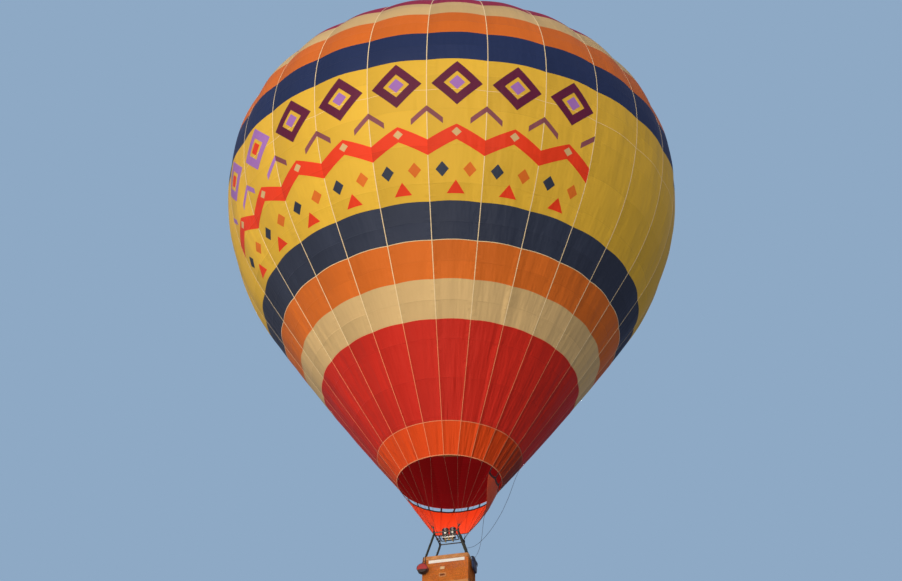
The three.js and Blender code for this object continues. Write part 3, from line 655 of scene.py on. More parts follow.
def ramp(tree, value, low, high, start=0.0, end=1.0):
    """Value mapped smoothly from one range to another."""
    inputs = {"Value": value, "From Min": low, "From Max": high, "To Min": start, "To Max": end}
    return node(tree, "ShaderNodeMapRange", inputs, interpolation_type="SMOOTHSTEP").outputs[0]


def blend_colours(tree, factor, first, second):
    """Mix of two colours."""
    return node(tree, "ShaderNodeMix", {"Factor": factor, 6: first, 7: second}, data_type="RGBA").outputs[2]


def darker(colour, share):
    """Colour with less light."""
    return tuple(share * part for part in colour)


def add_sockets(tree, way, values):
    """Sockets of a group, one for each value: a colour by its name, a number, or else a vector."""
    for label, value in values.items():
        kind = "Float" if isinstance(value, (float, bpy.types.NodeSocketFloat)) else "Vector"
        kind = "Color" if label == "Colour" else kind
        socket = tree.interface.new_socket(name=label, in_out=way, socket_type=f"NodeSocket{kind}")
        if isinstance(value, (float, tuple)):
            socket.default_value = value


def use_group(tree, fill, **inputs):
    """Outputs of a shader node group placed in a material. fill makes the group's nodes, once."""
    name, defaults = GROUPS[fill.__name__]
    made = bpy.data.node_groups.get(name)
    if not made:
        made = bpy.data.node_groups.new(name, "ShaderNodeTree")
        add_sockets(made, "INPUT", defaults)
        results = fill(made, made.nodes.new("NodeGroupInput").outputs)
        add_sockets(made, "OUTPUT", results)
        feed(made, made.nodes.new("NodeGroupOutput").inputs, results)
    return node(tree, "ShaderNodeGroup", inputs, node_tree=made).outputs


# Name and inputs of each node group
GROUPS = {
    "sewn_panels": (
        "Sewn panels",
        {"Cloth": None, "Position": None, "Colour": None, "Panel Height": 1.28, "Fade": 0.1, "Seam": -0.02,
         "Painted Shade Across": 0.2, "Folds": 1.6},
    ),
    "weave": ("Plain weave", {"Vector": None, "Threads": 400.0}),
    "wear": ("Wear", {"Vector": None, "Scale": 6.0, "Amount": 0.5}),
    "grain": ("Grain", {"Vector": None, "Stretch": (4.0, 60.0, 60.0)}),
}


def sewn_panels(tree, given):
    """Random tone of each panel, painted shade across each gore, double cloth at seams, long folds, puckers
    by the tapes.
    """
    parts = parts_of(tree, given["Cloth"])
    row = maths(tree, "DIVIDE", parts["Y"], given["Panel Height"])
    cell = combined(tree, maths(tree, "FLOOR", parts["X"]), maths(tree, "FLOOR", row))
    chance = node(tree, "ShaderNodeTexWhiteNoise", {"Vector": cell}, noise_dimensions="2D").outputs["Value"]
    varied = maths(tree, "ADD", chance, noise(tree, given["Position"], 0.7))
    shade = maths(tree, "MULTIPLY_ADD", maths(tree, "SUBTRACT", varied, 1.0), given["Fade"], 1.0)
    # Painted shade: each gore darker just past one tape and lighter towards the next, as if its bulge were
    # lit from one side
    across = maths(tree, "SUBTRACT", maths(tree, "FRACT", parts["X"]), 0.5)
    shade = maths(tree, "MULTIPLY_ADD", across, given["Painted Shade Across"], shade)
    to_seam = maths(tree, "MULTIPLY", maths(tree, "PINGPONG", row, 0.5), given["Panel Height"])
    seam = ramp(tree, to_seam, 0.014, 0.022, 1.0, 0.0)
    shade = maths(tree, "MULTIPLY", shade, maths(tree, "MULTIPLY_ADD", seam, given["Seam"], 1.0))
    near_tape = ramp(tree, maths(tree, "PINGPONG", parts["X"], 0.5), 0.01, 0.2, 1.0, 0.0)
    near_seam = ramp(tree, to_seam, 0.0, 0.2, 0.3, 0.0)
    squeezed = [maths(tree, "MULTIPLY", parts[axis], by) for axis, by in (("X", 3.0), ("Y", 7.0))]
    near = maths(tree, "MAXIMUM", near_tape, near_seam)
    puckers = maths(tree, "MULTIPLY", noise(tree, combined(tree, *squeezed), 1.0, 2.0), near)
    long_folds = noise(tree, combined(tree, maths(tree, "MULTIPLY", parts["X"], 7.0), parts["Y"]), 0.6, 2.0)
    height = maths(tree, "MULTIPLY_ADD", long_folds, given["Folds"], puckers)
    return {
        "Colour": scaled(tree, given["Colour"], shade),
        "Height": maths(tree, "MULTIPLY_ADD", seam, 0.1, height),
    }


def weave(tree, given):
    """Plain weave: threads that go over and under each other."""
    parts = parts_of(tree, scaled(tree, given["Vector"], given["Threads"]))
    waves = [maths(tree, "SINE", maths(tree, "MULTIPLY", parts[axis], math.pi)) for axis in "XYZ"]
    first, second = (maths(tree, "MULTIPLY", *pair) for pair in (waves[:2], waves[1:]))
    return {"Height": maths(tree, "ADD", first, second)}


def wear(tree, given):
    """Worn edges and grime: 0 where the surface is clean and 1 where it is worn."""
    edges = ramp(tree, node(tree, "ShaderNodeNewGeometry").outputs["Pointiness"], 0.5, 0.56)
    stain = noise(tree, given["Vector"], given["Scale"], 5.0)
    worn = maths(tree, "MAXIMUM", maths(tree, "MULTIPLY", edges, stain), ramp(tree, stain, 0.45, 0.75))
    return {"Mask": maths(tree, "MULTIPLY", worn, given["Amount"], clamp=True)}


def grain(tree, given):
    """Long streaks, as in wood, cane and brushed metal."""
    inputs = {0: given["Vector"], 1: given["Stretch"]}
    stretched = node(tree, "ShaderNodeVectorMath", inputs, operation="MULTIPLY").outputs[0]
    return {"Mask": ramp(tree, noise(tree, stretched, 1.0, 4.0, 0.4), 0.3, 0.7)}


def new_material(name):
    """Empty material, its tree and the object's coordinates."""
    made = bpy.data.materials.new(name)
    made.use_nodes = True
    made.node_tree.nodes.clear()
    return made, made.node_tree, node(made.node_tree, "ShaderNodeTexCoord").outputs["Object"]


def dressed(made, height=None, depth=0.0, **inputs):
    """The material with its Principled shader, and a bump from a height, as deep as a distance."""
    tree = made.node_tree
    if height:
        inputs["Normal"] = node(tree, "ShaderNodeBump", {"Height": height, "Distance": depth}).outputs[0]
    shader = node(tree, "ShaderNodeBsdfPrincipled", inputs)
    node(tree, "ShaderNodeOutputMaterial", {"Surface": shader.outputs[0]})
    return made


def envelope_cloth(name, colour, glow, panel_height, roughness=0.45):
    """Coated cloth in sewn panels. glow is painted light: emission that stands in for the light that comes
    through it from the far side.
    """
    made, tree, place = new_material(name)
    cloth = node(tree, "ShaderNodeUVMap", uv_map=CLOTH_MAP).outputs[0]
    inputs = {"Cloth": cloth, "Position": place, "Colour": colour, "Panel_Height": panel_height}
    panels = use_group(tree, sewn_panels, **inputs)
    threads = use_group(tree, weave, Vector=place, Threads=120.0)["Height"]
    height = maths(tree, "MULTIPLY_ADD", threads, 0.004, panels["Height"])
    shade = panels["Colour"]
    return dressed(made, height, 0.03, Base_Color=shade, Emission_Color=shade, Emission_Strength=glow,
                   Roughness=roughness, Specular_IOR_Level=0.12, Sheen_Weight=0.06)


def textile(name, colour, threads=300.0, roughness=0.8, grime=0.25, glow=0.0, second=None):
    """Woven tape, nylon or canvas. second is the colour of its worn places."""
    made, tree, place = new_material(name)
    worn = use_group(tree, wear, Vector=place, Scale=9.0, Amount=grime)["Mask"]
    mixed = blend_colours(tree, worn, colour, second or darker(colour, 0.55))
    height = use_group(tree, weave, Vector=place, Threads=threads)["Height"]
    light = {"Emission_Color": mixed, "Emission_Strength": glow} if glow else {}
    return dressed(made, height, 0.0004, Base_Color=mixed, Roughness=roughness, Sheen_Weight=0.25, **light)


def leather(name, colour, roughness=0.85):
    """Suede or leather: pores, scuffs and paler worn edges."""
    made, tree, place = new_material(name)
    worn = use_group(tree, wear, Vector=place, Scale=7.0, Amount=0.6)["Mask"]
    paler = tuple(min(1.0, 1.5 * part + 0.02) for part in colour)
    cells = node(tree, "ShaderNodeTexVoronoi", {"Vector": place, "Scale": 420.0}).outputs["Distance"]
    height = maths(tree, "MULTIPLY_ADD", cells, 0.5, noise(tree, place, 40.0, 4.0))
    return dressed(made, height, 0.0012, Base_Color=blend_colours(tree, worn, colour, paler),
                   Roughness=ramp(tree, worn, 0.0, 1.0, roughness, roughness - 0.2), Sheen_Weight=0.4)


def metal(name, colour, roughness=0.3, stretch=(20.0, 20.0, 200.0), stain=None, amount=0.35, metallic=1.0):
    """Brushed or heat-stained metal."""
    made, tree, place = new_material(name)
    streaks = use_group(tree, grain, Vector=place, Stretch=stretch)["Mask"]
    worn = use_group(tree, wear, Vector=place, Scale=12.0, Amount=amount)["Mask"]
    shade = blend_colours(tree, worn, colour, stain or darker(colour, 0.6))
    shine = ramp(tree, streaks, 0.0, 1.0, roughness - 0.08, roughness + 0.12)
    return dressed(made, streaks, 0.0002, Base_Color=shade, Roughness=shine, Metallic=metallic)


def timber(name, colour, stretch, roughness=0.55, varnish=0.0):
    """Wood with long grain."""
    made, tree, place = new_material(name)
    streaks = use_group(tree, grain, Vector=place, Stretch=stretch)["Mask"]
    worn = use_group(tree, wear, Vector=place, Scale=5.0, Amount=0.5)["Mask"]
    grained = blend_colours(tree, streaks, colour, darker(colour, 0.5))
    return dressed(made, streaks, 0.0008, Base_Color=blend_colours(tree, worn, grained, darker(colour, 0.35)),
                   Roughness=roughness, Coat_Weight=varnish)


def cane(name, colour):
    """Varnished cane whose strands each have their own shade."""
    made, tree, place = new_material(name)
    chance = node(tree, "ShaderNodeNewGeometry").outputs["Random Per Island"]
    streaks = use_group(tree, grain, Vector=place, Stretch=(30.0, 30.0, 30.0))["Mask"]
    varied = maths(tree, "MULTIPLY_ADD", maths(tree, "ADD", chance, streaks), 0.34, 0.66)
    brown = tuple(p * q for p, q in zip(colour, (0.85, 0.72, 0.6)))
    aged = blend_colours(tree, ramp(tree, noise(tree, place, 2.4), 0.35, 0.7), colour, brown)
    return dressed(made, streaks, 0.0004, Base_Color=scaled(tree, aged, varied), Roughness=0.55,
                   Coat_Weight=0.08, Coat_Roughness=0.4)


def rope(name, colour):
    """Braided rope."""
    made, tree, place = new_material(name)
    inputs = {"Vector": place, "Scale": 60.0, "Distortion": 2.0}
    strands = node(tree, "ShaderNodeTexWave", inputs, bands_direction="DIAGONAL").outputs["Fac"]
    shade = blend_colours(tree, strands, colour, darker(colour, 0.6))
    return dressed(made, strands, 0.001, Base_Color=shade, Roughness=0.85)


def shared(name):
    """Finish that several operators share, made when it is first asked for."""
    tape, suede = bpy.context.scene.balloon_envelope.tape, bpy.context.scene.balloon_basket.suede
    dusty, worn, stained = (0.06, 0.055, 0.05), (0.3, 0.28, 0.26), (0.16, 0.12, 0.2)
    made_by, *inputs, options = {
        # Painted light: the cream webbing glows a little
        "webbing": (textile, "Cream webbing", tape, 500.0, {"grime": 0.2, "glow": 0.14}),
        "strap": (textile, "Black webbing", (0.02, 0.02, 0.022), 500.0, {"grime": 0.4, "second": dusty}),
        "suede": (leather, "Brown suede", suede, {}),
        "steel": (metal, "Stainless steel", (0.62, 0.62, 0.6), {}),
        "frame": (metal, "Dark steel", (0.12, 0.115, 0.11), 0.5, {"stain": worn}),
        "hot": (metal, "Heat-stained coil", (0.34, 0.29, 0.26), 0.42, {"stain": stained, "amount": 0.9}),
    }[name]
    if name not in MADE:
        MADE[name] = made_by(*inputs, **options)
    return MADE[name]


class BALLOON_OT_camera(bpy.types.Operator):
    """Place the camera low on the floor, looking up at the balloon"""

    bl_idname = "balloon.camera"
    bl_label = "Camera"

    def execute(self, context):
        """Makes the camera and makes it the scene's own."""
        stage = context.scene.balloon_stage
        data = bpy.data.cameras.new("Camera")
        data.lens = stage.lens
        data.sensor_width = 36
        data.clip_start = 1
        data.clip_end = 2000
        camera = bpy.data.objects.new("Camera", data)
        camera.location = polar(stage.distance, stage.azimuth, -stage.camera_drop)
        turn = Matrix.Rotation(stage.azimuth, 3, "Z") @ Matrix.Rotation(math.pi / 2 + stage.pitch, 3, "X")
        camera.rotation_euler = (turn @ Matrix.Rotation(stage.roll, 3, "Z")).to_euler()
        context.scene.collection.objects.link(camera)
        context.scene.camera = camera
        return {"FINISHED"}


class BALLOON_OT_lines(bpy.types.Operator):
    """Hang the crown line and the handling line"""

    bl_idname = "balloon.lines"
    bl_label = "Free lines"

    def execute(self, context):
        """Both lines as braided ropes on the route of their solids."""
        finish = rope("Braided rope", context.scene.balloon_rigging.rope)
        on_dome = dome_height(CROWN_LINE_ON_DOME) + SPOKE_THICKNESS + 2 * LINE_R
        dome = polar(CROWN_LINE_ON_DOME, CROWN_LINE_AZIMUTH, on_dome)
        radius, height, tilt = profile(CROWN_LINE_ON_TAPE)
        rise = 2 * LINE_R + 0.001
        tape = polar(radius + rise * np.cos(tilt), CROWN_LINE_AZIMUTH, height + rise * np.sin(tilt))
        routes = {"crown_line": [*dome, *tape, *CROWN_LINE_HANGING], "handling_line": HANDLING_LINE}
        for name, route in routes.items():
            path = spline(route, 0.06 if name == "crown_line" else 0.03)
            batch = Batch().add(*sweep(path, circle(10, LINE_R)))
            line = batch.piece(f"{name}_rope", [finish], "rope", [name])
        return {"FINISHED"}


def cloth_places(envelope, up, corners):
    """Gore count and distance up the tape of each face corner of a shell."""
    return [np.stack([c[..., 1] / envelope.columns, up[c[..., 0]]], -1) for c in corners]


def round_cloth(envelope, up, out, deep):
    """Closed shell round the envelope between two offsets: points, faces and the faces' grid corners."""
    grid = np.meshgrid(np.arange(envelope.columns * GORES) / envelope.columns, up)
    outer, inner = (on_envelope(*grid, offset, envelope.ripple) for offset in (out, deep))
    return shell(outer, inner, wrap=True)


class BALLOON_OT_envelope(bpy.types.Operator):
    """Make the cloth bands of the envelope"""

    bl_idname = "balloon.envelope"
    bl_label = "Envelope"

    # Painted light: emission of each colour's outside, then of the inside and of the inside at the mouth,
    # standing in for light through the cloth
    GLOW = {
        "nomex": 0.0, "red": 0.15, "cream": 0.18, "orange": 0.16, "navy": 0.17, "blue": 0.17, "yellow": 0.18,
        "crimson": 0.15,
    }
    INSIDE_GLOW = 0.15
    MOUTH_GLOW = 0.4

    def execute(self, context):
        """One closed shell of cloth for each band, with its outside and inside finish."""
        envelope = context.scene.balloon_envelope
        finishes = {colour: self.finish(envelope, colour) for colour in self.GLOW}
        for node_name, low, high, colour in BANDS:
            up = np.linspace(low, high, max(2, round((high - low) / envelope.row_height)) + 1)
            points, faces, corners = round_cloth(envelope, up, 0.0, -SHELL)
            batch = Batch().add(points, *faces, mark=CLOTH_SIDES, cloth=cloth_places(envelope, up, corners))
            slot = "navy_fabric" if colour == "blue" else f"{colour}_fabric"
            batch.piece(f"{node_name}_cloth", finishes[colour], slot, [node_name])
        return {"FINISHED"}

    def finish(self, envelope, colour):
        """The outside and the inside of a colour's cloth. The inside is a painted-shade copy, darker and
        deeper in colour, and it glows.
        """
        shade = getattr(envelope, colour)
        name = f"{colour.capitalize()} cloth"
        # Painted shade: the inside is the outside's colour made darker and deeper, and at the mouth a set
        # dark red
        deep, glow = tuple(0.75 * part**1.3 for part in shade), self.INSIDE_GLOW
        if colour in {"nomex", "red"}:
            deep, glow = envelope.mouth_inside, self.MOUTH_GLOW
        return [
            envelope_cloth(name, shade, self.GLOW[colour], envelope.panel_height),
            envelope_cloth(f"{name} inside", deep, glow, envelope.panel_height, 0.6),
        ]


def tape_strip(gore, distances, width, thickness, lift=0.001):
    """Tape along a gore edge, following the crease between two gores."""
    half = width / 2 / (GORE_ANGLE * profile(distances)[0])
    across = gore + np.linspace(-1, 1, 5) * half[:, None]
    up = np.broadcast_to(distances[:, None], across.shape)
    return shell(on_envelope(across, up, lift + thickness), on_envelope(across, up, lift))[:2]


class BALLOON_OT_tapes(bpy.types.Operator):
    """Sew the load tapes and the level tapes on the envelope"""

    bl_idname = "balloon.tapes"
    bl_label = "Tapes"

    # Distance up the tape, width and finish of each level tape
    LEVELS = [
        (0.016, 0.03, 1), (NOMEX_SEAM, 0.022, 1), (RED_TOP, 0.012, 1), (LOWER_TAPE, 0.022, 0),
        (YELLOW_TAPE, 0.014, 0),
    ]

    def execute(self, context):
        """24 load tapes as one mesh, and the level tapes as another."""
        envelope = context.scene.balloon_envelope
        # Painted light: the mouth webbing glows a little
        warm = textile("Mouth webbing", envelope.mouth_tape, 500.0, grime=0.2, glow=0.05)
        finishes = [shared("webbing"), warm]
        upright = Batch()
        for low, high, rows, mark in ((0.004, RED_TOP, 32, 1), (RED_TOP, VENT - SPOKE_OVERLAP, 105, 0)):
            distances = np.linspace(low, high, rows)
            width = envelope.tape_width * (0.6 + 0.4 * smoothstep(distances, 1.0, 7.0))
            for gore in range(GORES):
                points, faces = tape_strip(gore, distances, width, envelope.tape_thickness)
                upright.add(points, *faces, mark=mark)
        upright.piece("load_tapes", finishes, "webbing")
        level = Batch()
        for middle, width, mark in self.LEVELS:
            points, faces, _ = round_cloth(envelope, middle + width * np.array([-0.5, 0, 0.5]), 0.003, 0.001)
            level.add(points, *faces, mark=mark)
        level.piece("level_tapes", finishes, "webbing")
        return {"FINISHED"}


def cut_outline(outline, columns, step):
    """Convex outline on the cloth, as (gore, distance) points, cut along the cloth's own columns and rows."""
    pieces = [np.asarray(outline, float)]
    for axis, spacing in ((0, 1 / columns), (1, step)):
        cut = []
        for piece in pieces:
            low = math.floor(piece[:, axis].min() / spacing + 1e-6)
            high = math.ceil(piece[:, axis].max() / spacing - 1e-6)
            for k in range(low, high):
                part = clip(clip(piece, axis, k * spacing, 1), axis, (k + 1) * spacing, -1)
                if len(part) > 2:
                    cut.append(part)
        pieces = cut
    return pieces


def clip(outline, axis, level, side):
    """The part of a convex outline on one side of a level."""
    kept = []
    for start, end in zip(outline, np.roll(outline, -1, 0)):
        before, after = side * (start[axis] - level), side * (end[axis] - level)
        if before >= 0:
            kept.append(start)
        if before * after < 0:
            kept.append(start + (end - start) * before / (before - after))
    return np.array(kept)


class BALLOON_OT_design(bpy.types.Operator):
    """Sew the pattern on the yellow band"""

    bl_idname = "balloon.design"
    bl_label = "Sewn-on pattern"

    # Slots of the colours that the envelope has too
    SLOTS = {"cream": "cream_fabric", "navy": "navy_fabric", "orange": "orange_fabric"}
    # Painted light: emission of the sewn pattern, for light through the cloth
    GLOW = 0.17
    LIFT = 0.0026
    CREAM_LIFT = 0.0046
    THICKNESS = 0.0016

    def execute(self, context):
        """One piece of thin cloth for each colour of the pattern."""
        envelope, design = context.scene.balloon_envelope, context.scene.balloon_design
        shapes = {name: [] for name in ("plum", "mauve", "violet", "ribbon", *self.SLOTS)}
        for gore in range(design.first_gore, design.last_gore + 1):
            self.figure(gore, shapes, gore < design.first_gore + 2)
        for name, outlines in shapes.items():
            colour = getattr(envelope if name in self.SLOTS else design, name)
            finish = envelope_cloth(f"Sewn {name}", colour, self.GLOW, envelope.panel_height)
            batch = Batch()
            for outline in outlines:
                for part in cut_outline(outline, envelope.columns, envelope.row_height):
                    self.lay(batch, part, self.CREAM_LIFT if name == "cream" else self.LIFT, envelope.ripple)
            batch.piece(f"pattern_{name}", [finish], self.SLOTS.get(name))
        return {"FINISHED"}

    def figure(self, gore, shapes, at_end):
        """One gore: a lozenge frame, two half chevrons, a zigzag with a small lozenge, and a low row."""
        colours = ("violet", "ribbon", "violet") if at_end else ("plum", "violet", "mauve")
        frames, centres, chevrons = (shapes[colour] for colour in colours)
        middle = gore + 0.5
        frames.extend(lozenge_frame(middle, 12.5, 0.42, 0.85, 0.52))
        centres.append(lozenge(middle, 12.5, 0.13, 0.27))
        for edge, inward in ((gore, 1), (gore + 1, -1)):
            foot = edge + 0.27 * inward
            chevron = [(edge, 11.47), (foot, 10.98), (foot, 11.19), (edge, 11.68)]
            ribbon = [(edge, 9.92), (middle, 10.42), (middle, 10.96), (edge, 10.46)]
            chevrons.append(chevron[::inward])
            shapes["ribbon"].append(ribbon[::inward])
        shapes["cream"].append(lozenge(middle, 10.68, 0.085, 0.16))
        for colour, place in (("navy", gore + 0.25), ("orange", gore + 0.75)):
            shapes[colour].append(lozenge(place, 9.42, 0.12, 0.26))
        shapes["ribbon"].append([(middle - 0.17, 8.6), (middle + 0.17, 8.6), (middle, 9.05)])

    def lay(self, batch, part, lift, depth):
        """A cut part as a thin patch on the cloth."""
        top, bottom = (on_envelope(*part.T, out, depth) for out in (lift + self.THICKNESS, lift))
        j = np.arange(len(part))
        beyond = np.roll(j, -1)
        walls = np.stack([j + len(part), beyond + len(part), beyond, j], -1)
        faces = [j[None], j[None, ::-1] + len(part), walls]
        corners = [part[None], part[None, ::-1], part[np.stack([j, beyond, beyond, j], -1)]]
        batch.add(np.concatenate([top, bottom]), *faces, cloth=corners)


def lozenge(gore, distance, half_width, half_height):
    """Lozenge on the cloth."""
    corners = ((0, -1), (1, 0), (0, 1), (-1, 0))
    return [(gore + x * half_width, distance + y * half_height) for x, y in corners]


def lozenge_frame(gore, distance, half_width, half_height, opening):
    """Lozenge with a lozenge hole, as four strokes."""
    outer = lozenge(gore, distance, half_width, half_height)
    inner = lozenge(gore, distance, half_width * opening, half_height * opening)
    return [[outer[k], outer[k - 3], inner[k - 3], inner[k]] for k in range(4)]


class BALLOON_OT_crown(bpy.types.Operator):
    """Make the crown ring, its webbing and the parachute valve"""

    bl_idname = "balloon.crown"
    bl_label = "Crown and valve"

    VENT_R = float(profile(VENT)[0])
    SPOKE_WIDTH = 0.044
    LOOP_R = 0.0135
    RING_BAR_R = 0.011
    VALVE_PANEL = 0.8
    VALVE_GAP = 0.0016
    VALVE_THICKNESS = 0.006
    BILLOW = 0.01

    def execute(self, context):
        """Webbing over the vent, a steel ring with a lug, and the valve's cloth."""
        self.webbing()
        self.valve(context.scene.balloon_envelope)
        return {"FINISHED"}

    def rim_height(self, radius):
        """Height of the crown's cloth just outside the vent."""
        radii, heights, _ = profile([VENT, VENT_TAPE])
        return heights[0] + (radius - radii[0]) * (heights[0] - heights[1]) / (radii[0] - radii[1])

    def webbing(self):
        """24 tapes that cross the vent, looped round the ring."""
        lift = SPOKE_LIFT + SPOKE_THICKNESS / 2
        inside = np.linspace(CROWN_RING_R, self.VENT_R, 14)
        outside = np.linspace(self.VENT_R, self.VENT_R + SPOKE_OVERLAP, 4)[1:]
        radius = np.concatenate([inside, outside])
        height = np.concatenate([dome_height(inside), self.rim_height(outside)]) + lift
        ring_z = float(dome_height(CROWN_RING_R)) + lift
        turn = around(10)[:, None]
        batch = Batch()
        for azimuth in FIRST_TAPE + np.arange(GORES) * GORE_ANGLE:
            spoke, out = polar(radius, azimuth, height), outward(azimuth)
            batch.add(*strap(spoke, self.SPOKE_WIDTH, SPOKE_THICKNESS * 0.6, UP, 0.0012))
            bend = self.LOOP_R * (np.cos(turn) * out + np.sin(turn) * UP)
            loop = polar(CROWN_RING_R, azimuth, ring_z) + bend
            batch.add(*strap(loop, 0.03, 0.003, np.cross(out, UP), closed=True))
        batch.add(*ring((0, 0, ring_z), CROWN_RING_R, self.RING_BAR_R, steps=72, sides=12), mark=1)
        place = polar(CROWN_RING_R, CROWN_LINE_AZIMUTH, ring_z + 0.013)
        axis = outward(CROWN_LINE_AZIMUTH + math.pi / 2)
        batch.add(*ring(place, 0.012, 0.0045, axis, steps=24), mark=1)
        batch.piece("crown_webbing", [shared("webbing"), shared("steel")], "webbing", ["crown_tapes"])

    def valve(self, envelope):
        """Round panel that closes the vent, in 24 sewn sectors that billow between the tapes."""
        colour = envelope.crimson
        # Painted light and shade: the outside glows a little, and the inside is a darker copy that glows more
        outside = envelope_cloth("Valve cloth", colour, 0.1, self.VALVE_PANEL)
        inside = envelope_cloth("Valve cloth inside", darker(colour, 0.6), 0.2, self.VALVE_PANEL)
        overlap = np.linspace(self.VENT_R + VALVE_OVERLAP, self.VENT_R, 4)
        radius = np.concatenate([overlap, np.linspace(self.VENT_R, 0.02, 18)[1:]])
        across, r = np.meshgrid(np.arange(envelope.columns * GORES) / envelope.columns, radius)
        height = np.where(r > self.VENT_R, self.rim_height(r), dome_height(np.minimum(r, self.VENT_R)))
        billow = self.BILLOW * (bulge(across) * smoothstep(r, 0.2, 1.2) * (1 - smoothstep(r, 1.9, 2.2)) - 1)
        top = height - SHELL - self.VALVE_GAP + billow
        sides = [polar(r, FIRST_TAPE + across * GORE_ANGLE, z) for z in (top, top - self.VALVE_THICKNESS)]
        points, faces, corners = shell(*sides, wrap=True)
        batch = Batch().add(points, *faces, mark=CLOTH_SIDES, cloth=cloth_places(envelope, radius, corners))
        batch.piece("valve_cloth", [outside, inside], "crimson_fabric", ["parachute_valve"], "valve")
        hub = Batch().add(*lathe([(0.05, -0.008), (0.06, 0), (0.05, 0.006)]))
        place = (0, 0, float(dome_height(0)) - SHELL - 0.016)
        hub.piece("valve_hub", [shared("webbing")], "webbing", body="valve", place=place)


class BALLOON_OT_wires(bpy.types.Operator):
    """Rig the flying wires from the mouth to the burner frame"""

    bl_idname = "balloon.wires"
    bl_label = "Flying wires"

    EYE_R = 0.017
    CLAMP_LENGTH = 0.07

    def execute(self, context):
        """Six wires, their eyes and a karabiner for each corner."""
        rigging = context.scene.balloon_rigging
        cable = metal("Sleeved cable", rigging.cable, 0.5, amount=0.3, metallic=0.25)
        quarters = (FIRST_TAPE + np.arange(GORES) * GORE_ANGLE).reshape(4, -1)
        for azimuths, name in zip(quarters, ("front_right", "back_right", "back_left", "front_left")):
            corner = corner_of(azimuths[0])
            batch = Batch()
            for azimuth in azimuths:
                top = polar(MOUTH_R - SHELL / 2, azimuth, MOUTH_Z - SHELL)
                along = unit(top - corner)
                foot = corner + along * 0.05
                batch.add(*rod(foot, top, rigging.wire_radius, 10))
                eye = np.cross(along, outward(azimuth))
                for clamp, loop in ((foot, corner + along * 0.032), (top - along * 0.09, top)):
                    end = clamp + along * self.CLAMP_LENGTH
                    batch.add(*rod(clamp, end, rigging.wire_radius * 1.7, 10), mark=1)
                    batch.add(*ring(loop, self.EYE_R, 0.004, axis=eye, steps=20, sides=6), mark=1)
            self.karabiner(batch, corner * [1, 1, 0])
            batch.piece(f"flying_wires_{name}", [cable, shared("frame")], "cable", [f"wires_{name}"])
        return {"FINISHED"}

    def karabiner(self, batch, corner):
        """Oval steel link with a screw sleeve, between the wires' eyes and the socket."""
        low, high = FRAME_Z + SOCKET_HEIGHT / 2 - 0.004, FRAME_Z + LINK_RISE + 0.024
        half = 0.022
        turn = np.linspace(0, math.pi, 11)[:, None]
        side = np.cross(unit(corner), UP)
        middle = corner + UP * (low + high) / 2
        bend = half * (np.cos(turn) * side + np.sin(turn) * UP) + UP * ((high - low) / 2 - half)
        oval = np.concatenate([middle + bend, middle - bend])
        batch.add(*sweep(oval, circle(10, 0.006), closed=True), mark=1)
        gate = middle + half * side
        batch.add(*rod(gate - UP * 0.02, gate + UP * 0.02, 0.0095), mark=1)


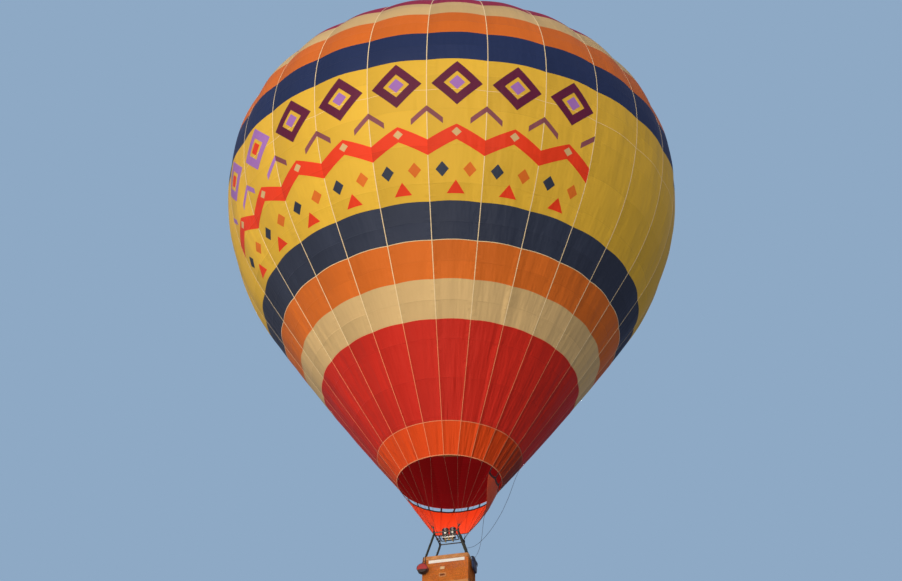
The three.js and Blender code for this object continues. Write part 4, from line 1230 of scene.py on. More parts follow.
class BALLOON_OT_scoop(bpy.types.Operator):
    """Hang the scoop under the mouth"""

    bl_idname = "balloon.scoop"
    bl_label = "Scoop"

    COLUMNS = 8
    ROWS = 30
    SAG = 0.03
    THICKNESS = 0.008
    HEM_PROUD = 0.0016
    STRAP_WIDTH = 0.055

    def execute(self, context):
        """Cloth skirt, its hems, and the straps that hold it under the mouth."""
        rigging = context.scene.balloon_rigging
        # Painted light and shade: the inside is a bright copy that glows strongly, the outside a darker copy
        # with a weak glow
        lit = textile("Scoop cloth inside", rigging.scoop, 200.0, 0.6, grime=0.15, glow=0.5)
        shaded = textile("Scoop cloth outside", rigging.scoop_outside, 200.0, 0.6, grime=0.2, glow=0.16)
        hem = textile("Hem tape", rigging.hem, 400.0, grime=0.3)
        skirt = self.skirt(np.linspace(1, 0, self.ROWS + 1), 0.0)
        batch = Batch().add(*skirt, mark=[*CLOTH_SIDES, 0, 0])
        scoop = batch.piece("scoop_cloth", [shaded, lit], "nomex_fabric", ["scoop"])
        trims = Batch()
        for top, bottom in ((0.0, 0.045), (0.97, 1.0)):
            trims.add(*self.skirt(np.linspace(bottom, top, 3), self.HEM_PROUD))
        for k in range(SCOOP_GORES + 1):
            trims.add(*self.hanger(SCOOP_START_TAPE - k * GORE_ANGLE))
        trim = trims.piece("scoop_hems", [hem], "nomex_fabric")
        return {"FINISHED"}

    def skirt(self, down, proud):
        """Closed shell over the scoop's whole width at shares of its drop, thicker on both sides by proud."""
        grid = np.meshgrid(np.linspace(1, 0, SCOOP_GORES * self.COLUMNS + 1), down)
        points, faces, _ = shell(self.surface(*grid, self.THICKNESS + proud), self.surface(*grid, -proud))
        return points, *faces

    def surface(self, across, down, offset):
        """Points of the scoop, from its first edge round to its last and from its top down to its hem."""
        swing = SCOOP_EDGE_SWING * smoothstep(down, -SCOOP_CUT_MARGIN, SCOOP_EDGE_DEPTH)
        share = across * (SCOOP_TURN - swing) / SCOOP_TURN
        gores = share * SCOOP_GORES
        between, middle = bulge(gores), np.sin(math.pi * down)
        sag = self.SAG * between * (1 - smoothstep(down, 0.0, 0.3))
        height = SCOOP_TOP_Z + (SCOOP_HEM_Z - SCOOP_TOP_Z) * down - sag
        point = wire_point(SCOOP_START_TAPE - share * SCOOP_TURN, height)
        belly = SCOOP_BELLY * middle * np.sin(math.pi * share)
        folds = 0.014 * between * middle**0.5
        creases = 0.003 * middle * np.sin(9 * gores + 4 * down) * np.sin(5 * gores - 11 * down)
        out = SCOOP_STANDOFF + belly + folds + creases + offset
        return point + unit(point * [1, 1, 0]) * out[..., None]

    def hanger(self, azimuth):
        """Short tape from the mouth's rim down to the scoop's top hem."""
        top = polar(MOUTH_R + 0.004, azimuth, MOUTH_Z + 0.02)
        foot = self.surface(np.array((SCOOP_START_TAPE - azimuth) / SCOOP_TURN), np.array(0.04), 0.012)
        path = top + (foot - top) * np.linspace(0, 1, 5)[:, None]
        return strap(path, self.STRAP_WIDTH, 0.003, outward(azimuth))


class BALLOON_OT_burner(bpy.types.Operator):
    """Build the burner frame, the gimbal and the double burner"""

    bl_idname = "balloon.burner"
    bl_label = "Burner"

    # Zero point of the frame's, the gimbal's and the block's shapes. A can's is its foot's middle
    MIDDLE = (0, 0, FRAME_Z)
    TUBE_R = 0.019
    PIN_R = 0.011
    GIMBAL_WIDTH = 0.6
    GIMBAL_DEPTH = 0.38
    GIMBAL_BAR = 0.026
    CAN_X = 0.125
    CAN_R = 0.112
    CAN_RISE = 0.095
    CAN_HEIGHT = 0.235
    JET_RING_R = 0.062
    INLET_Z = -0.105
    SOCKET = [(0.031, -0.06), (0.034, -0.057), (0.034, 0.05), (0.028, 0.058), (0.012, 0.06)]
    VALVE = [
        (0.018, -0.15), (0.022, -0.144), (0.022, -0.13), (0.026, -0.126), (0.026, -0.08), (0.021, -0.075),
        (0.021, -0.055), (0.026, -0.05), (0.026, 0),
    ]
    GAUGE = [(0.026, -0.012), (0.028, -0.008), (0.028, 0.008), (0.024, 0.011)]

    def execute(self, context):
        """Frame, gimbal ring, valve block and two coils."""
        burner = context.scene.balloon_burner
        self.frame()
        self.gimbal()
        self.block(burner)
        for name, x in (("left", -self.CAN_X), ("right", self.CAN_X)):
            self.can(name, x, burner)
        return {"FINISHED"}

    def frame(self):
        """Square of tube in four corner sockets, with the gimbal's pins."""
        batch = Batch()
        corners = FRAME_HALF * np.array([(x, y, 0.0) for x, y in CORNERS.values()])
        for corner, beyond in zip(corners, np.roll(corners, -1, 0)):
            along = unit(beyond - corner)
            batch.add(*rod(corner, beyond, self.TUBE_R, 24))
            for end in (corner, beyond - along * 0.092):
                batch.add(*rod(end + along * 0.03, end + along * 0.062, self.TUBE_R + 0.0045, 24))
            batch.add(*lathe(self.SOCKET, corner, 28))
            batch.add(*ring(corner + [0, 0, 0.062], 0.014, 0.005, axis=(corner[1], -corner[0], 0), steps=20))
            bolt = unit(corner)
            for height in (-0.04, 0.032):
                start = corner + [0, 0, height] + bolt * 0.031
                batch.add(*rod(start, start + bolt * 0.008, 0.007, 6))
        for side in (-1, 1):
            inner = self.GIMBAL_WIDTH / 2 + self.GIMBAL_BAR / 2 + 0.0003
            for start, end, radius, sides in ((inner, FRAME_HALF, self.PIN_R, 20), (0.375, 0.39, 0.02, 6)):
                batch.add(*rod((side * start, 0, 0), (side * end, 0, 0), radius, sides))
            batch.add(*block((0.05, 0.06, 0.05), (side * FRAME_HALF, 0, 0), 0.008))
        batch.piece("burner_frame_tubes", [shared("frame")], "steel", ["burner_frame"], "root", self.MIDDLE)

    def gimbal(self):
        """Ring of square bar with the burner's pins."""
        path = lifted(rounded_box_section(self.GIMBAL_WIDTH, self.GIMBAL_DEPTH, 0.035, 6), 0.0)
        bar = rounded_box_section(self.GIMBAL_BAR, self.GIMBAL_BAR, 0.004, 2)
        batch = Batch().add(*sweep(path, bar, closed=True, up=UP))
        pins = ((0.0753, 0.19, self.PIN_R, 20), (0.14, 0.152, 0.019, 6), (0.198, 0.206, 0.013, 6))
        for side in (-1, 1):
            for start, end, radius, sides in pins:
                batch.add(*rod((0, side * start, 0), (0, side * end, 0), radius, sides))
        batch.piece("gimbal_bar", [shared("frame")], "steel", ["gimbal_ring"], "gimbal", self.MIDDLE)

    def block(self, burner):
        """Valve block with its jets' posts, valves, levers, gauges and hose tails."""
        brass = metal("Brass", BRASS, 0.35)
        grip = textile("Lever grip", burner.grip, 900.0, 0.5, 0.3)
        hose = textile("Black hose", (0.015, 0.015, 0.016), 700.0, 0.6)
        dial = textile("Blank dial", (0.8, 0.8, 0.78), 10.0, 0.3, 0.1)
        batch = Batch().add(*block((0.44, 0.15, 0.07), (0, 0, 0), 0.01))
        inlet = ((0, 0.075, 0.012, 16, 1), (0.055, 0.08, 0.0165, 6, 1), (0.078, 0.12, 0.011, 16, 3))
        for side in (-1, 1):
            x, gauge = side * self.CAN_X, side * 0.19
            batch.add(*rod((x, 0, 0.03), (x, 0, self.CAN_RISE - 0.0003), 0.03, 24))
            batch.add(*rod((x, 0, 0.045), (x, 0, 0.06), 0.036, 6), mark=1)
            batch.add(*lathe(self.VALVE, (x, 0, 0), 24), mark=1)
            batch.add(*rod((x, 0, self.INLET_Z), (x, -0.09, self.INLET_Z - 0.018), 0.007))
            lever = [(x, -0.06 - 0.01 * k, -0.117 - 0.002 * k) for k in range(10)]
            swell = 0.85 + 0.15 * np.sin(np.linspace(0, math.pi, 10))
            batch.add(*sweep(lever, circle(14, 0.012), scale=swell), mark=2)
            for start, end, radius, sides, mark in inlet:
                batch.add(*rod((x, start, self.INLET_Z), (x, end, self.INLET_Z), radius, sides), mark=mark)
            batch.add(*lathe(self.GAUGE, (gauge, -0.085, -0.005), 28, axis="Y"))
            batch.add(*lathe([(0.022, 0), (0.022, 0.0015)], (gauge, -0.0962, -0.005), 24, axis="Y"), mark=4)
        batch.add(*rod((-self.CAN_X, 0, -0.07), (self.CAN_X, 0, -0.07), 0.014, 20))
        batch.add(*block((0.05, 0.05, 0.05), (0, 0, -0.07), 0.006), mark=1)
        for x in (-0.2, -0.05, 0.05, 0.2):
            for y in (-0.055, 0.055):
                batch.add(*rod((x, y, 0.034), (x, y, 0.041), 0.007, 6), mark=1)
        finishes = [shared("steel"), brass, grip, hose, dial]
        batch.piece("burner_valves", finishes, "steel", ["burner_block"], "burner", self.MIDDLE)

    def can(self, name, x, burner):
        """Vaporiser coil on its dish, with straps, a jet ring and a pilot tube, about its foot's middle."""
        tube = burner.coil_radius
        radius = self.CAN_R - tube
        share = np.linspace(0, 1, burner.coil_turns * 36 + 1)
        turn = share * burner.coil_turns * TAU
        low, high = 0.055 + tube, self.CAN_HEIGHT - tube
        coil = np.stack([radius * np.cos(turn), radius * np.sin(turn), low + (high - low) * share], -1)
        batch = Batch().add(*sweep(coil, circle(10, tube)))
        for out in lifted(circle(8)[1::2], 0.0):
            place = [0, 0, 0.03] + out * (radius - tube - 0.004)
            batch.add(*strap([place, place + [0, 0, self.CAN_HEIGHT - 0.034]], 0.022, 0.003, up=-out), mark=1)
        rim, foot = self.CAN_R, self.CAN_R * 0.55
        dish = [(foot, 0), (rim - 0.002, 0.052), (rim, 0.06), (rim - 0.004, 0.06), (foot, 0.006)]
        batch.add(*lathe(dish, segments=40), mark=1)
        batch.add(*ring((0, 0, 0.045), self.JET_RING_R, 0.008, steps=40, sides=10), mark=1)
        for place in lifted(circle(burner.jets, self.JET_RING_R), 0.05):
            batch.add(*rod(place, place + [0, 0, 0.014], 0.0035, 8), mark=1)
        batch.add(*rod((0, 0, 0.004), (0, 0, 0.085), 0.014, 16), mark=1)
        batch.add(*ring((0, 0, 0.085), 0.014, 0.003, steps=20, sides=6), mark=1)
        place = (x, 0, FRAME_Z + self.CAN_RISE)
        finishes = [shared("hot"), shared("steel")]
        batch.piece(f"burner_coil_{name}", finishes, "heated_steel", [f"burner_can_{name}"], "burner", place)


def applied(piece):
    """Gives a piece the mesh that its modifiers make, and takes them off."""
    graph = bpy.context.evaluated_depsgraph_get()
    mesh = bpy.data.meshes.new_from_object(piece.evaluated_get(graph))
    piece.modifiers.clear()
    piece.data = mesh
    return mesh


def points_of(mesh, attribute="co"):
    """Points of a mesh, or their normals."""
    values = np.empty(len(mesh.vertices) * 3, np.float32)
    mesh.vertices.foreach_get(attribute, values)
    return values.reshape(-1, 3).astype(float)


def move_points(mesh, points):
    """Puts the points of a mesh elsewhere."""
    mesh.vertices.foreach_set("co", points.astype(np.float32).ravel())


def stuffed(piece, voxel, swell, held, slack=0.03):
    """Blows a padded piece's skin up as cloth. swell caps a point's way, and held(points) keeps some."""
    remesh = piece.modifiers.new("Even skin", "REMESH")
    remesh.mode = "VOXEL"
    remesh.voxel_size = voxel
    mesh = applied(piece)
    still = held(points_of(mesh))
    start = points_of(mesh) - points_of(mesh, "normal") * swell
    move_points(mesh, start)
    pins = piece.vertex_groups.new(name="Seams")
    pins.add([int(k) for k in np.flatnonzero(still)], 1.0, "REPLACE")
    cloth = piece.modifiers.new("Stuffing", "CLOTH")
    settings = cloth.settings
    settings.quality = 5
    settings.use_pressure = True
    settings.uniform_pressure_force = PRESSURE
    settings.vertex_group_mass = pins.name
    settings.shrink_min = -slack
    settings.effector_weights.gravity = 0.0
    cloth.point_cache.frame_end = LAST_FRAME
    scene = bpy.context.scene
    for moment in range(1, LAST_FRAME + 1):
        scene.frame_set(moment)
    moved = points_of(piece.evaluated_get(bpy.context.evaluated_depsgraph_get()).data) - start
    piece.modifiers.clear()
    reach = np.linalg.norm(moved, axis=1, keepdims=True)
    grown = start + moved * np.minimum(1, swell / np.maximum(reach, 1e-9))
    move_points(mesh, grown)
    scene.frame_set(1)
    piece.modifiers.new("Smooth skin", "SUBSURF").levels = 1
    applied(piece).shade_smooth()


class BALLOON_OT_uprights(bpy.types.Operator):
    """Fit the padded uprights"""

    bl_idname = "balloon.uprights"
    bl_label = "Uprights"

    RADIUS = 0.04
    FOOT_INSET = 0.085
    END_GAP = 0.0005
    BANDS = (0.06, 0.28, 0.5, 0.72, 0.94)

    def execute(self, context):
        """Four padded sleeves, each with its straps and closing flap."""
        worn = (0.07, 0.068, 0.05)
        sleeve = textile("Padded sleeve", context.scene.balloon_basket.sleeve, 350.0, grime=0.5, second=worn)
        inset = np.array([BASKET_WIDTH / 2, BASKET_DEPTH / 2]) - self.FOOT_INSET
        for name, corner in CORNERS.items():
            foot = np.array([*inset * corner, RIM_TOP_Z])
            head = np.array([*FRAME_HALF * np.array(corner), FRAME_Z - SOCKET_HEIGHT / 2])
            along, length = unit(head - foot), float(np.linalg.norm(head - foot))
            share = np.linspace(self.END_GAP, 1 - self.END_GAP, 60)
            path = foot + (head - foot) * share[:, None]
            calm = np.clip(np.minimum(share, 1 - share) * 30, 0, 1)
            folds = 0.03 * np.sin(share * 90 + 3 * np.sin(share * 17)) * calm
            points, *faces = sweep(path, circle(24, self.RADIUS), scale=0.97 + folds)
            points[:, 2] = np.clip(points[:, 2], foot[2] + self.END_GAP, head[2] - self.END_GAP)
            batch = Batch().add(points, *faces)
            piece = batch.piece(f"padded_{name}", [sleeve], "upright_cover", [f"upright_{name}"])
            places = np.array((0, *self.BANDS, 1))[:, None] * length
            stuffed(
                piece, voxel=0.0095, swell=0.005, slack=0.06,
                held=lambda p: (np.abs((p - foot) @ along - places) < 0.012).any(0),
            )
            trims = Batch()
            for band in self.BANDS:
                middle = foot + (head - foot) * band
                trims.add(*rod(middle - along * 0.014, middle + along * 0.014, self.RADIUS * 0.94, 24))
            inward = -unit(np.array([*corner, 0.0]))
            trims.add(*strap(path[2:-2] + inward * self.RADIUS * 0.93, 0.02, 0.006, inward, 0.002))
            trims.piece(f"straps_{name}", [shared("strap")], "upright_cover")
        return {"FINISHED"}


class BALLOON_OT_wicker(bpy.types.Operator):
    """Weave the basket's walls"""

    bl_idname = "balloon.wicker"
    bl_label = "Wicker walls"

    STRAND_SHARE = 0.86
    CORNER_GAP = 0.0003
    LEATHER_PROUD = 0.003
    LEATHER_WIDTH = 0.035
    PATCH_Z = -15.254

    def execute(self, context):
        """A woven wall on each side, with its foot hole bound in leather."""
        basket = context.scene.balloon_basket
        finish = cane("Varnished cane", basket.wicker)
        low, high = FLOOR_TOP_Z - 0.03, RIM_TOP_Z - RIM_HEIGHT - self.CORNER_GAP
        side_width = BASKET_DEPTH - 2 * WALL - 2 * self.CORNER_GAP
        x, y = (BASKET_WIDTH - WALL) / 2, (BASKET_DEPTH - WALL) / 2
        walls = {
            "front": (BASKET_WIDTH, (0, -y), (1, 0)),
            "back": (BASKET_WIDTH, (0, y), (-1, 0)),
            "left": (side_width, (-x, 0), (0, -1)),
            "right": (side_width, (x, 0), (0, 1)),
        }
        for name, (width, middle, along) in walls.items():
            batch = self.wall(basket, width, low, high, FOOT_HOLE_X * along[0] if along[0] else None)
            turn = np.array([(*along, 0), (-along[1], along[0], 0), (0, 0, 1)])
            batch.points = [points @ turn for points in batch.points]
            batch.piece(f"wicker_{name}", [finish], "wicker", [f"basket_{name}"], place=(*middle, 0))
        self.bindings(basket, low)
        return {"FINISHED"}

    def wall(self, basket, width, low, high, hole):
        """Stakes and strands along X, outside at -Y. hole is the foot hole's place along the wall."""
        batch = Batch()
        thin = WALL / 6
        edge = width / 2 - thin
        count = round(2 * edge / basket.stake_spacing)
        stakes = np.linspace(-edge, edge, count + 1)
        for place in stakes:
            for bottom, top in self.clear_of_hole(place, hole, low, high):
                batch.add(*rod((place, 0, bottom), (place, 0, top), thin, 8))
        rows = int((high - low) / basket.strand_pitch)
        pitch = (high - low) / rows
        section = circle(6)[:, ::-1] * [thin, pitch * self.STRAND_SHARE]
        steps = np.linspace(-edge - thin * 0.9, edge + thin * 0.9, count * 3 + 1)
        weaving = 2 * thin * np.cos(math.pi * (steps + edge) / (stakes[1] - stakes[0]))
        for row in range(rows):
            z = low + (row + 0.5) * pitch
            waves = z + 0.0012 * np.sin(steps * 9 + row * 1.7)
            path = np.stack([steps, weaving if row % 2 else -weaving, waves], -1)
            for part in self.split_at_hole(path, hole, z):
                batch.add(*sweep(part, section, up=UP))
        return batch

    def clear_of_hole(self, place, hole, low, high):
        """Heights that a stake covers."""
        if hole is None or abs(place - hole) > FOOT_HOLE_WIDTH / 2:
            return [(low, high)]
        return [(low, FOOT_HOLE_Z - FOOT_HOLE_HEIGHT / 2), (FOOT_HOLE_Z + FOOT_HOLE_HEIGHT / 2, high)]

    def split_at_hole(self, path, hole, height):
        """The parts of a strand on each side of the foot hole."""
        if hole is None or abs(height - FOOT_HOLE_Z) > FOOT_HOLE_HEIGHT / 2:
            return [path]
        return [path[path[:, 0] < hole - FOOT_HOLE_WIDTH / 2], path[path[:, 0] > hole + FOOT_HOLE_WIDTH / 2]]

    def bindings(self, basket, low):
        """Leather round the foot holes, a pale patch, and the scuff skirt at the foot."""
        pale = leather("Pale leather", basket.patch, 0.7)
        batch = Batch()
        inner, outer = (
            rounded_box_section(FOOT_HOLE_WIDTH + more, FOOT_HOLE_HEIGHT + more, 0.03, 4)
            for more in (0, 2 * self.LEATHER_WIDTH)
        )
        proud = self.LEATHER_PROUD
        for side in (-1, 1):
            rings = []
            for outline, depth in ((inner, -WALL), (inner, proud), (outer, proud), (outer, -WALL)):
                placed = lifted(outline + [FOOT_HOLE_X, FOOT_HOLE_Z], side * (BASKET_DEPTH / 2 + depth))
                rings.append(placed[:, [0, 2, 1]])
            (quads,) = tube_faces(len(rings), len(inner), closed=True)
            batch.add(np.concatenate(rings), quads if side > 0 else quads[:, ::-1])
        patch = (FOOT_HOLE_X, -BASKET_DEPTH / 2 - 0.002, self.PATCH_Z)
        batch.add(*block((0.15, 0.006, 0.1), patch, 0.0025), mark=1)
        batch.add(*self.scuff_skirt(low))
        batch.piece("leather_bindings", [shared("suede"), pale], "suede")

    def scuff_skirt(self, low):
        """Suede skirt round the foot of the walls."""
        thickness, reach = 0.005, 2 * self.LEATHER_PROUD
        outline = rounded_box_section(BASKET_WIDTH + reach, BASKET_DEPTH + reach, 0.02, 3)
        outer = np.stack([lifted(outline, low + height) for height in (0, 0.002, 0.07, 0.14)])
        points, faces, _ = shell(outer, outer - np.sign(outer) * [thickness, thickness, 0], wrap=True)
        return points, *faces


class BALLOON_OT_rim(bpy.types.Operator):
    """Make the padded rim"""

    bl_idname = "balloon.rim"
    bl_label = "Rim"

    STITCH_Z = -0.045

    def execute(self, context):
        """Suede roll round the top of the walls, with its stitches."""
        size = np.array([BASKET_WIDTH, BASKET_DEPTH]) + 2 * RIM_PROUD - RIM_WIDTH
        path = lifted(self.evenly(rounded_box_section(*size, 0.056, 8), 0.03), RIM_TOP_Z - RIM_HEIGHT / 2)
        section = squared(28, 0.62) * [RIM_WIDTH / 2, RIM_HEIGHT / 2]
        place = np.arange(len(path))
        puff = 0.985 - 0.012 * np.abs(np.sin(place * 0.9)) - 0.008 * np.sin(place * 0.37)
        batch = Batch().add(*sweep(path, section, closed=True, up=UP, scale=puff))
        _, side, _ = frames_along(path, True, UP)
        seams = [path + side * reach * RIM_WIDTH / 2 + UP * self.STITCH_Z for reach in (-0.985, 0.985)]
        seams = np.stack(seams, 1)
        for start, beyond in zip(seams.reshape(-1, 3), np.roll(seams, -1, 0).reshape(-1, 3)):
            batch.add(*rod(start + (beyond - start) * 0.2, start + (beyond - start) * 0.8, 0.0022, 5), mark=1)
        rim = batch.piece("suede_rim", [shared("suede"), shared("webbing")], "suede", ["basket_rim"])
        return {"FINISHED"}

    def evenly(self, outline, step):
        """Points an even step apart round an outline."""
        loop = np.concatenate([outline, outline[:1]])
        reach = np.concatenate([[0], np.cumsum(np.linalg.norm(np.diff(loop, axis=0), axis=1))])
        count = round(reach[-1] / step)
        at = np.arange(count) * reach[-1] / count
        return np.stack([np.interp(at, reach, loop[:, 0]), np.interp(at, reach, loop[:, 1])], -1)


class BALLOON_OT_floor(bpy.types.Operator):
    """Finish the basket's floor and its runners"""

    bl_idname = "balloon.floor"
    bl_label = "Floor and runners"

    def execute(self, context):
        """Plywood on the floor's own solid, and worn ash runners with bolts."""
        plywood = timber("Varnished plywood", srgb(176, 138, 92), (3.0, 70.0, 20.0), 0.45, varnish=0.3)
        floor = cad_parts["basket_floor"]
        floor.data.materials.clear()
        floor.data.materials.append(plywood)
        ash = timber("Worn ash", srgb(150, 112, 68), (70.0, 3.0, 20.0), roughness=0.7)
        for name in ("left", "middle", "right"):
            low, high = np.array(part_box(f"runner_{name}"))
            centre = (high + low) / 2
            batch = Batch().add(*block(high - low, centre, 0.006))
            for y in (-0.4, -0.14, 0.14, 0.4):
                head = np.array([centre[0], y, low[2]])
                batch.add(*rod(head + UP * 0.0002, head + UP * 0.004, 0.014, 16), mark=1)
            batch.piece(f"ash_runner_{name}", [ash, shared("steel")], "ash", [f"runner_{name}"])
        return {"FINISHED"}


class BALLOON_OT_cylinders(bpy.types.Operator):
    """Stand the fuel cylinders in the basket"""

    bl_idname = "balloon.cylinders"
    bl_label = "Fuel cylinders"

    RADIUS = 0.15
    VALVE_Z = 0.852
    BUCKLE_INSET = 0.108
    BAND = [(0.1505, -0.024), (0.152, -0.022), (0.152, 0.022), (0.1505, 0.024)]

    def execute(self, context):
        """Cylinder, collar, valve and straps in three corners, all about the foot's middle."""
        alloy = metal("Satin aluminium", (0.72, 0.73, 0.73), 0.38, stretch=(3.0, 3.0, 220.0))
        finishes = [alloy, metal("Valve brass", BRASS, 0.35), shared("strap"), shared("steel")]
        for name in ("front_left", "back_left", "back_right"):
            low, high = np.array(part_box(f"fuel_cylinder_{name}"))
            place = (low + high) * [0.5, 0.5, 0] + UP * low[2]
            batch = Batch().add(*lathe(self.outline(), segments=48))
            batch.add(*ring((0, 0, self.VALVE_Z), 0.07, 0.005, steps=36))
            for height in (0.2, 0.62):
                batch.add(*lathe(self.BAND, (0, 0, height), 48), mark=2)
                buckle = (*-np.copysign(self.BUCKLE_INSET, place[:2]), height)
                batch.add(*block((0.03, 0.03, 0.05), buckle, 0.004), mark=3)
            batch.add(*rod((0, 0, self.VALVE_Z - 0.024), (0, 0, self.VALVE_Z), 0.02, 16), mark=1)
            batch.add(*ring((0, 0, self.VALVE_Z), 0.03, 0.005, steps=24), mark=1)
            batch.piece(f"cylinder_{name}", finishes, "cylinder_metal", [f"fuel_cylinder_{name}"],
                        place=place)
        return {"FINISHED"}

    def outline(self):
        """Foot ring, domed ends, weld bead and collar."""
        arc = np.linspace(0, math.pi / 2, 7)
        radius = self.RADIUS
        foot = [(0.12, 0), (0.122, 0.02)]
        shoulder = [(radius - 0.028 * (1 - math.sin(t)), 0.06 - 0.03 * math.cos(t)) for t in arc]
        weld = [(radius, 0.42), (radius + 0.0012, 0.425), (radius + 0.0012, 0.431), (radius, 0.436)]
        dome = [(radius - 0.04 * (1 - math.cos(t)), 0.78 + 0.05 * math.sin(t)) for t in arc]
        return [*foot, *shoulder, *weld, *dome, (0.076, 0.84), (0.075, 0.859), (0.07, 0.86), (0.068, 0.848)]


class BALLOON_OT_bags(bpy.types.Operator):
    """Hang the bags and the blank name strip on the basket"""

    bl_idname = "balloon.bags"
    bl_label = "Bags and name strip"

    def execute(self, context):
        """Round red bag, blue bag and cloth strip."""
        basket = context.scene.balloon_basket
        self.red_bag(basket)
        self.blue_bag(basket)
        self.name_strip(basket)
        return {"FINISHED"}

    def red_bag(self, basket):
        """Drum-shaped bag with piping and a dark lower half, hung by two straps from the rim."""
        upper = textile("Red nylon", basket.red_bag, 600.0, 0.55, 0.3)
        lower = textile("Dark nylon", (0.03, 0.012, 0.014), 600.0, 0.6, 0.4, second=(0.07, 0.03, 0.03))
        low, high = np.array(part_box("red_bag"))
        centre, (radius, depth, height) = (low + high) / 2, (high - low) * [0.5, 1, 0.5]
        share = np.linspace(0, 1, 12)
        face, seam = radius * 0.93, depth * 0.42
        front = np.stack([face * share, depth * (0.07 * share**2 - 0.5)], -1)[1:]
        full = radius * (0.95 + 0.03 * np.sin(math.pi * share))
        side = np.stack([full, depth * (0.8 * share - 0.4)], -1)[1:-1]
        points, *faces = lathe(np.concatenate([front, side, front[::-1] * [1, -1]]), segments=48, axis="Y")
        batch = Batch().add(points * [1, 1, height / radius], *faces)
        bag = batch.piece("round_bag", [upper, lower], "red_nylon", ["red_bag"], place=centre)
        join = centre[2] - 0.05

        def sewn(p):
            """Points on the two piped edges and on the join between the colours."""
            out = np.hypot(p[:, 0] - centre[0], (p[:, 2] - centre[2]) * radius / height)
            edge = (np.abs(np.abs(p[:, 1] - centre[1]) - seam) < 0.006) & (out > radius * 0.88)
            return edge | (np.abs(p[:, 2] - join) < 0.004)

        stuffed(bag, voxel=0.009, swell=0.008, held=sewn)
        dark = [face.center.z < join for face in bag.data.polygons]
        bag.data.polygons.foreach_set("material_index", np.array(dark, dtype=np.int32))
        trims = Batch()
        for y in (-seam, seam):
            piping = centre + lifted(circle(60) * [face, face * height / radius], y)[:, [0, 2, 1]]
            trims.add(*sweep(piping, circle(6, 0.005), closed=True))
        wall_y = -BASKET_DEPTH / 2 - RIM_PROUD - 0.004
        beyond = wall_y + RIM_WIDTH + 0.008
        for x in (centre[0] - 0.07, centre[0] + 0.07):
            wall_x = max(x, -BASKET_WIDTH / 2 + 0.05)
            path = [
                (x, centre[1], centre[2] + height * 0.86),
                ((x + wall_x) / 2, (centre[1] + wall_y) / 2, centre[2] + height * 0.9 + 0.05),
                (wall_x, wall_y, RIM_TOP_Z - RIM_HEIGHT + 0.02),
                (wall_x, wall_y, RIM_TOP_Z - 0.04),
                (wall_x, wall_y + RIM_WIDTH / 2, RIM_TOP_Z + 0.005),
                (wall_x, beyond, RIM_TOP_Z - 0.04),
                (wall_x, beyond, RIM_TOP_Z - 0.12),
            ]
            trims.add(*strap(spline(path, 0.015), 0.003, 0.026, (1, 0, 0)))
        trims.piece("round_bag_straps", [shared("strap")], "red_nylon")

    def blue_bag(self, basket):
        """Soft pouch with a flap, and two straps over the rim."""
        nylon = textile("Blue nylon", basket.blue_bag, 600.0, 0.55, 0.35)
        low, high = np.array(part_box("blue_bag"))
        centre, (thick, wide, tall) = (low + high) / 2, high - low
        rings = []
        for level in np.linspace(0, 1, 26):
            full = math.sin(math.pi * min(1.0, level * 0.9 + 0.12)) ** 0.35
            x = thick / 2 * full * (0.97 - 0.1 * level)
            y = wide / 2 * (0.9 + 0.08 * math.sin(math.pi * level)) * min(1.0, 0.8 + level * 2)
            rings.append(lifted(squared(40, 0.5) * [x, y], (level - 0.5) * tall * 0.985))
        batch = Batch().add(np.concatenate(rings), *tube_faces(len(rings), len(rings[0])))
        bag = batch.piece("soft_pouch", [nylon], "blue_nylon", ["blue_bag"], place=centre)
        stuffed(
            bag, voxel=0.01, swell=0.009,
            held=lambda p: (p[:, 0] < low[0] + 0.008) | (np.abs(p[:, 2] - high[2] + 0.15) < 0.004),
        )
        flap = [
            (low[0] + 0.006, centre[1], high[2] + 0.004),
            (centre[0], centre[1], high[2] + 0.005),
            (high[0] + 0.001, centre[1], high[2] - 0.03),
            (high[0] + 0.002, centre[1], high[2] - 0.14),
        ]
        trims = Batch().add(*strap(spline(flap, 0.02), wide * 0.86, 0.004, (1, 0, 0.4), 0.0015))
        rim_x = BASKET_WIDTH / 2 + RIM_PROUD
        beyond = rim_x - RIM_WIDTH - 0.003
        for y in (centre[1] - 0.16, centre[1] + 0.16):
            path = [
                (high[0] + 0.006, y, high[2] - 0.2),
                (high[0] + 0.006, y, high[2] - 0.02),
                (centre[0], y, high[2] + 0.01),
                (rim_x - RIM_WIDTH / 2, y, RIM_TOP_Z + 0.004),
                (beyond, y, RIM_TOP_Z - 0.03),
                (beyond, y, RIM_TOP_Z - 0.12),
            ]
            trims.add(*strap(spline(path, 0.015), 0.03, 0.003, (1, 0, 0.2)), mark=1)
        trims.piece("pouch_flap", [nylon, shared("strap")], "blue_nylon")

    def name_strip(self, basket):
        """Blank strip of cloth with hems and a row of eyelets along its top."""
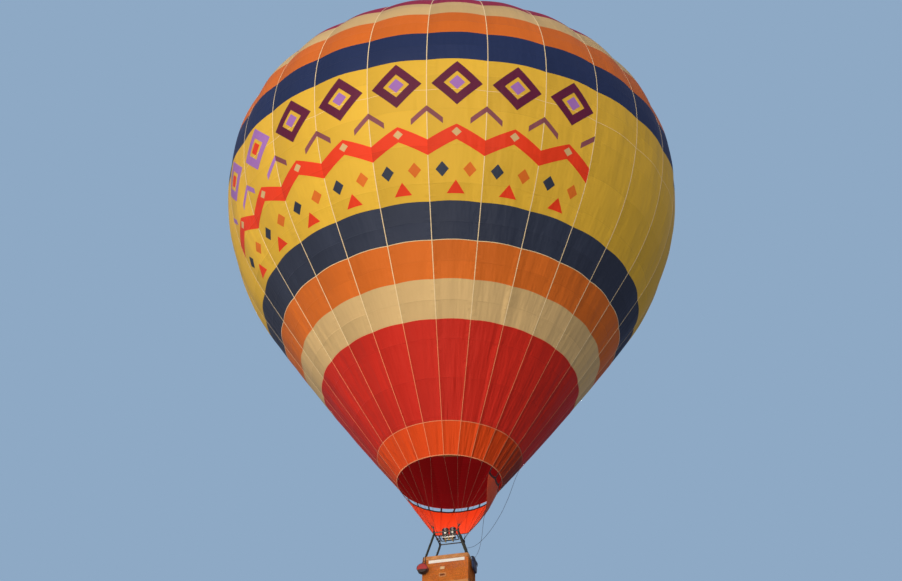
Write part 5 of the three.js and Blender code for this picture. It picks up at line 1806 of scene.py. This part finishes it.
        # Painted light: the strip cloth glows a little
        cloth = textile("Strip cloth", basket.strip, 400.0, 0.6, grime=0.15, glow=0.05)
        low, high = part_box("name_panel")
        width, height = high[0] - low[0], high[2] - low[2]
        face = (low[1] + high[1]) / 2
        x, z = np.meshgrid(np.linspace(low[0], high[0], 61), np.linspace(low[2], high[2], 9))
        wave = 0.0011 * np.sin(9 * x) * np.sin(math.pi * (z - low[2]) / height)
        outer, inner = (np.stack([x, face + y + wave, z], -1) for y in (-0.0008, 0.0008))
        points, faces, _ = shell(outer, inner)
        strip = Batch().add(points, *faces).piece("blank_strip", [cloth], "banner_cloth", ["name_panel"])
        trims = Batch()
        for side in (low[2] + 0.006, high[2] - 0.006):
            path = [(low[0] + 0.002, face - 0.0016, side), (high[0] - 0.002, face - 0.0016, side)]
            trims.add(*strap(path, 0.002, 0.01, UP, 0.0008))
        for eyelet in np.linspace(low[0] + 0.02, high[0] - 0.02, 7):
            place = (eyelet, face - 0.0022, high[2] - 0.014)
            trims.add(*ring(place, 0.006, 0.0016, axis=(0, 1, 0), steps=16, sides=6), mark=1)
        trim = trims.piece("strip_hems", [cloth, shared("steel")], "banner_cloth")


class BALLOON_OT_stage(bpy.types.Operator):
    """Set the floor, the backdrop and the light"""

    bl_idname = "balloon.stage"
    bl_label = "Stage"

    FLOOR_R = 900
    SIDE_AZIMUTH = math.radians(-85)
    SIDE_SPREAD = math.radians(60)
    BACK_SPREAD = math.radians(20)
    BACK_COLOUR = (1.0, 0.97, 0.92)

    def execute(self, context):
        """Pale floor under the camera, a plain backdrop, and the lights."""
        stage = context.scene.balloon_stage
        self.floor(context, -stage.camera_drop - stage.eye_height)
        self.backdrop(context, stage)
        self.sun("Main light", stage.sun_strength, stage.sun_azimuth, stage.sun_height, stage.sun_spread)
        self.sun("Side light", stage.side_strength, self.SIDE_AZIMUTH, 0, self.SIDE_SPREAD)
        opposite = stage.azimuth + math.pi
        self.sun("Back light", stage.back_strength, opposite, stage.pitch, self.BACK_SPREAD, self.BACK_COLOUR)
        context.scene.view_settings.view_transform = "Standard"
        return {"FINISHED"}

    def floor(self, context, level):
        """Round pale floor, seen from above only."""
        made, tree, place = new_material("Pale floor")
        pale = blend_colours(tree, noise(tree, place, 0.02, 2.0), (0.8, 0.81, 0.82), (0.84, 0.84, 0.84))
        seen = maths(tree, "SUBTRACT", 1.0, node(tree, "ShaderNodeNewGeometry").outputs["Backfacing"])
        dressed(made, Base_Color=pale, Emission_Color=pale, Emission_Strength=0.6, Roughness=0.9, Alpha=seen)
        mesh = bpy.data.meshes.new("floor")
        mesh.from_pydata(lifted(circle(64, self.FLOOR_R), level).tolist(), [], [list(range(64))])
        mesh.materials.append(made)
        floor = bpy.data.objects.new("floor", mesh)
        floor.visible_diffuse = False
        floor.visible_glossy = False
        context.scene.collection.objects.link(floor)

    def backdrop(self, context, stage):
        """Plain backdrop behind the balloon, and a fill light that is weaker from below."""
        world = bpy.data.worlds.new("Backdrop")
        world.use_nodes = True
        tree = world.node_tree
        height = parts_of(tree, node(tree, "ShaderNodeTexCoord").outputs["Generated"])["Z"]
        fill = blend_colours(tree, ramp(tree, height, -0.4, 0.6), stage.fill_below, stage.fill_above)
        seen = node(tree, "ShaderNodeLightPath").outputs["Is Camera Ray"]
        colour = blend_colours(tree, seen, fill, stage.backdrop)
        feed(tree, tree.nodes["Background"].inputs, {"Color": colour})
        context.scene.world = world

    def sun(self, name, strength, azimuth, height, spread, colour=SUNLIGHT):
        """Broad soft light from an azimuth and a height. Only the main one makes highlights."""
        data = bpy.data.lights.new(name, "SUN")
        data.energy = strength
        data.angle = spread
        data.color = colour
        light = bpy.data.objects.new(name, data)
        light.rotation_euler = (math.pi / 2 - height, 0, azimuth)
        light.visible_glossy = name == "Main light"
        bpy.context.scene.collection.objects.link(light)


class BALLOON_PT_parts(bpy.types.Panel):
    """Lists the balloon's pieces and their settings"""

    bl_idname = "BALLOON_PT_parts"
    bl_label = "Hot air balloon"
    bl_space_type = "VIEW_3D"
    bl_region_type = "UI"
    bl_category = "Balloon"

    def draw(self, context):
        """One button for each operator, then the settings."""
        for operator in OPERATORS:
            self.layout.operator(operator.bl_idname)
        for name in SETTINGS:
            box = self.layout.box()
            box.label(text=name.replace("_", " ").capitalize())
            group_of = getattr(context.scene, f"balloon_{name}")
            for key in group_of.bl_rna.properties.keys():
                if key not in {"rna_type", "name"}:
                    box.prop(group_of, key)


SETTINGS = {
    "envelope": EnvelopeSettings,
    "design": DesignSettings,
    "rigging": RiggingSettings,
    "burner": BurnerSettings,
    "basket": BasketSettings,
    "stage": StageSettings,
}

OPERATORS = [
    BALLOON_OT_camera,
    BALLOON_OT_lines,
    BALLOON_OT_envelope,
    BALLOON_OT_tapes,
    BALLOON_OT_design,
    BALLOON_OT_crown,
    BALLOON_OT_wires,
    BALLOON_OT_scoop,
    BALLOON_OT_burner,
    BALLOON_OT_uprights,
    BALLOON_OT_wicker,
    BALLOON_OT_rim,
    BALLOON_OT_floor,
    BALLOON_OT_cylinders,
    BALLOON_OT_bags,
    BALLOON_OT_stage,
]


def register():
    """Adds the settings, operators and panel."""
    for cls in (*SETTINGS.values(), *OPERATORS, BALLOON_PT_parts):
        bpy.utils.register_class(cls)
    for name, cls in SETTINGS.items():
        setattr(bpy.types.Scene, f"balloon_{name}", bpy.props.PointerProperty(type=cls))


def unregister():
    """Takes them away again."""
    for name in SETTINGS:
        delattr(bpy.types.Scene, f"balloon_{name}")
    for cls in reversed((*SETTINGS.values(), *OPERATORS, BALLOON_PT_parts)):
        bpy.utils.unregister_class(cls)


def main():
    """Builds every piece in order."""
    register()
    for operator in OPERATORS:
        family, name = operator.bl_idname.split(".")
        getattr(getattr(bpy.ops, family), name)()


if __name__ == "__main__":
    main()
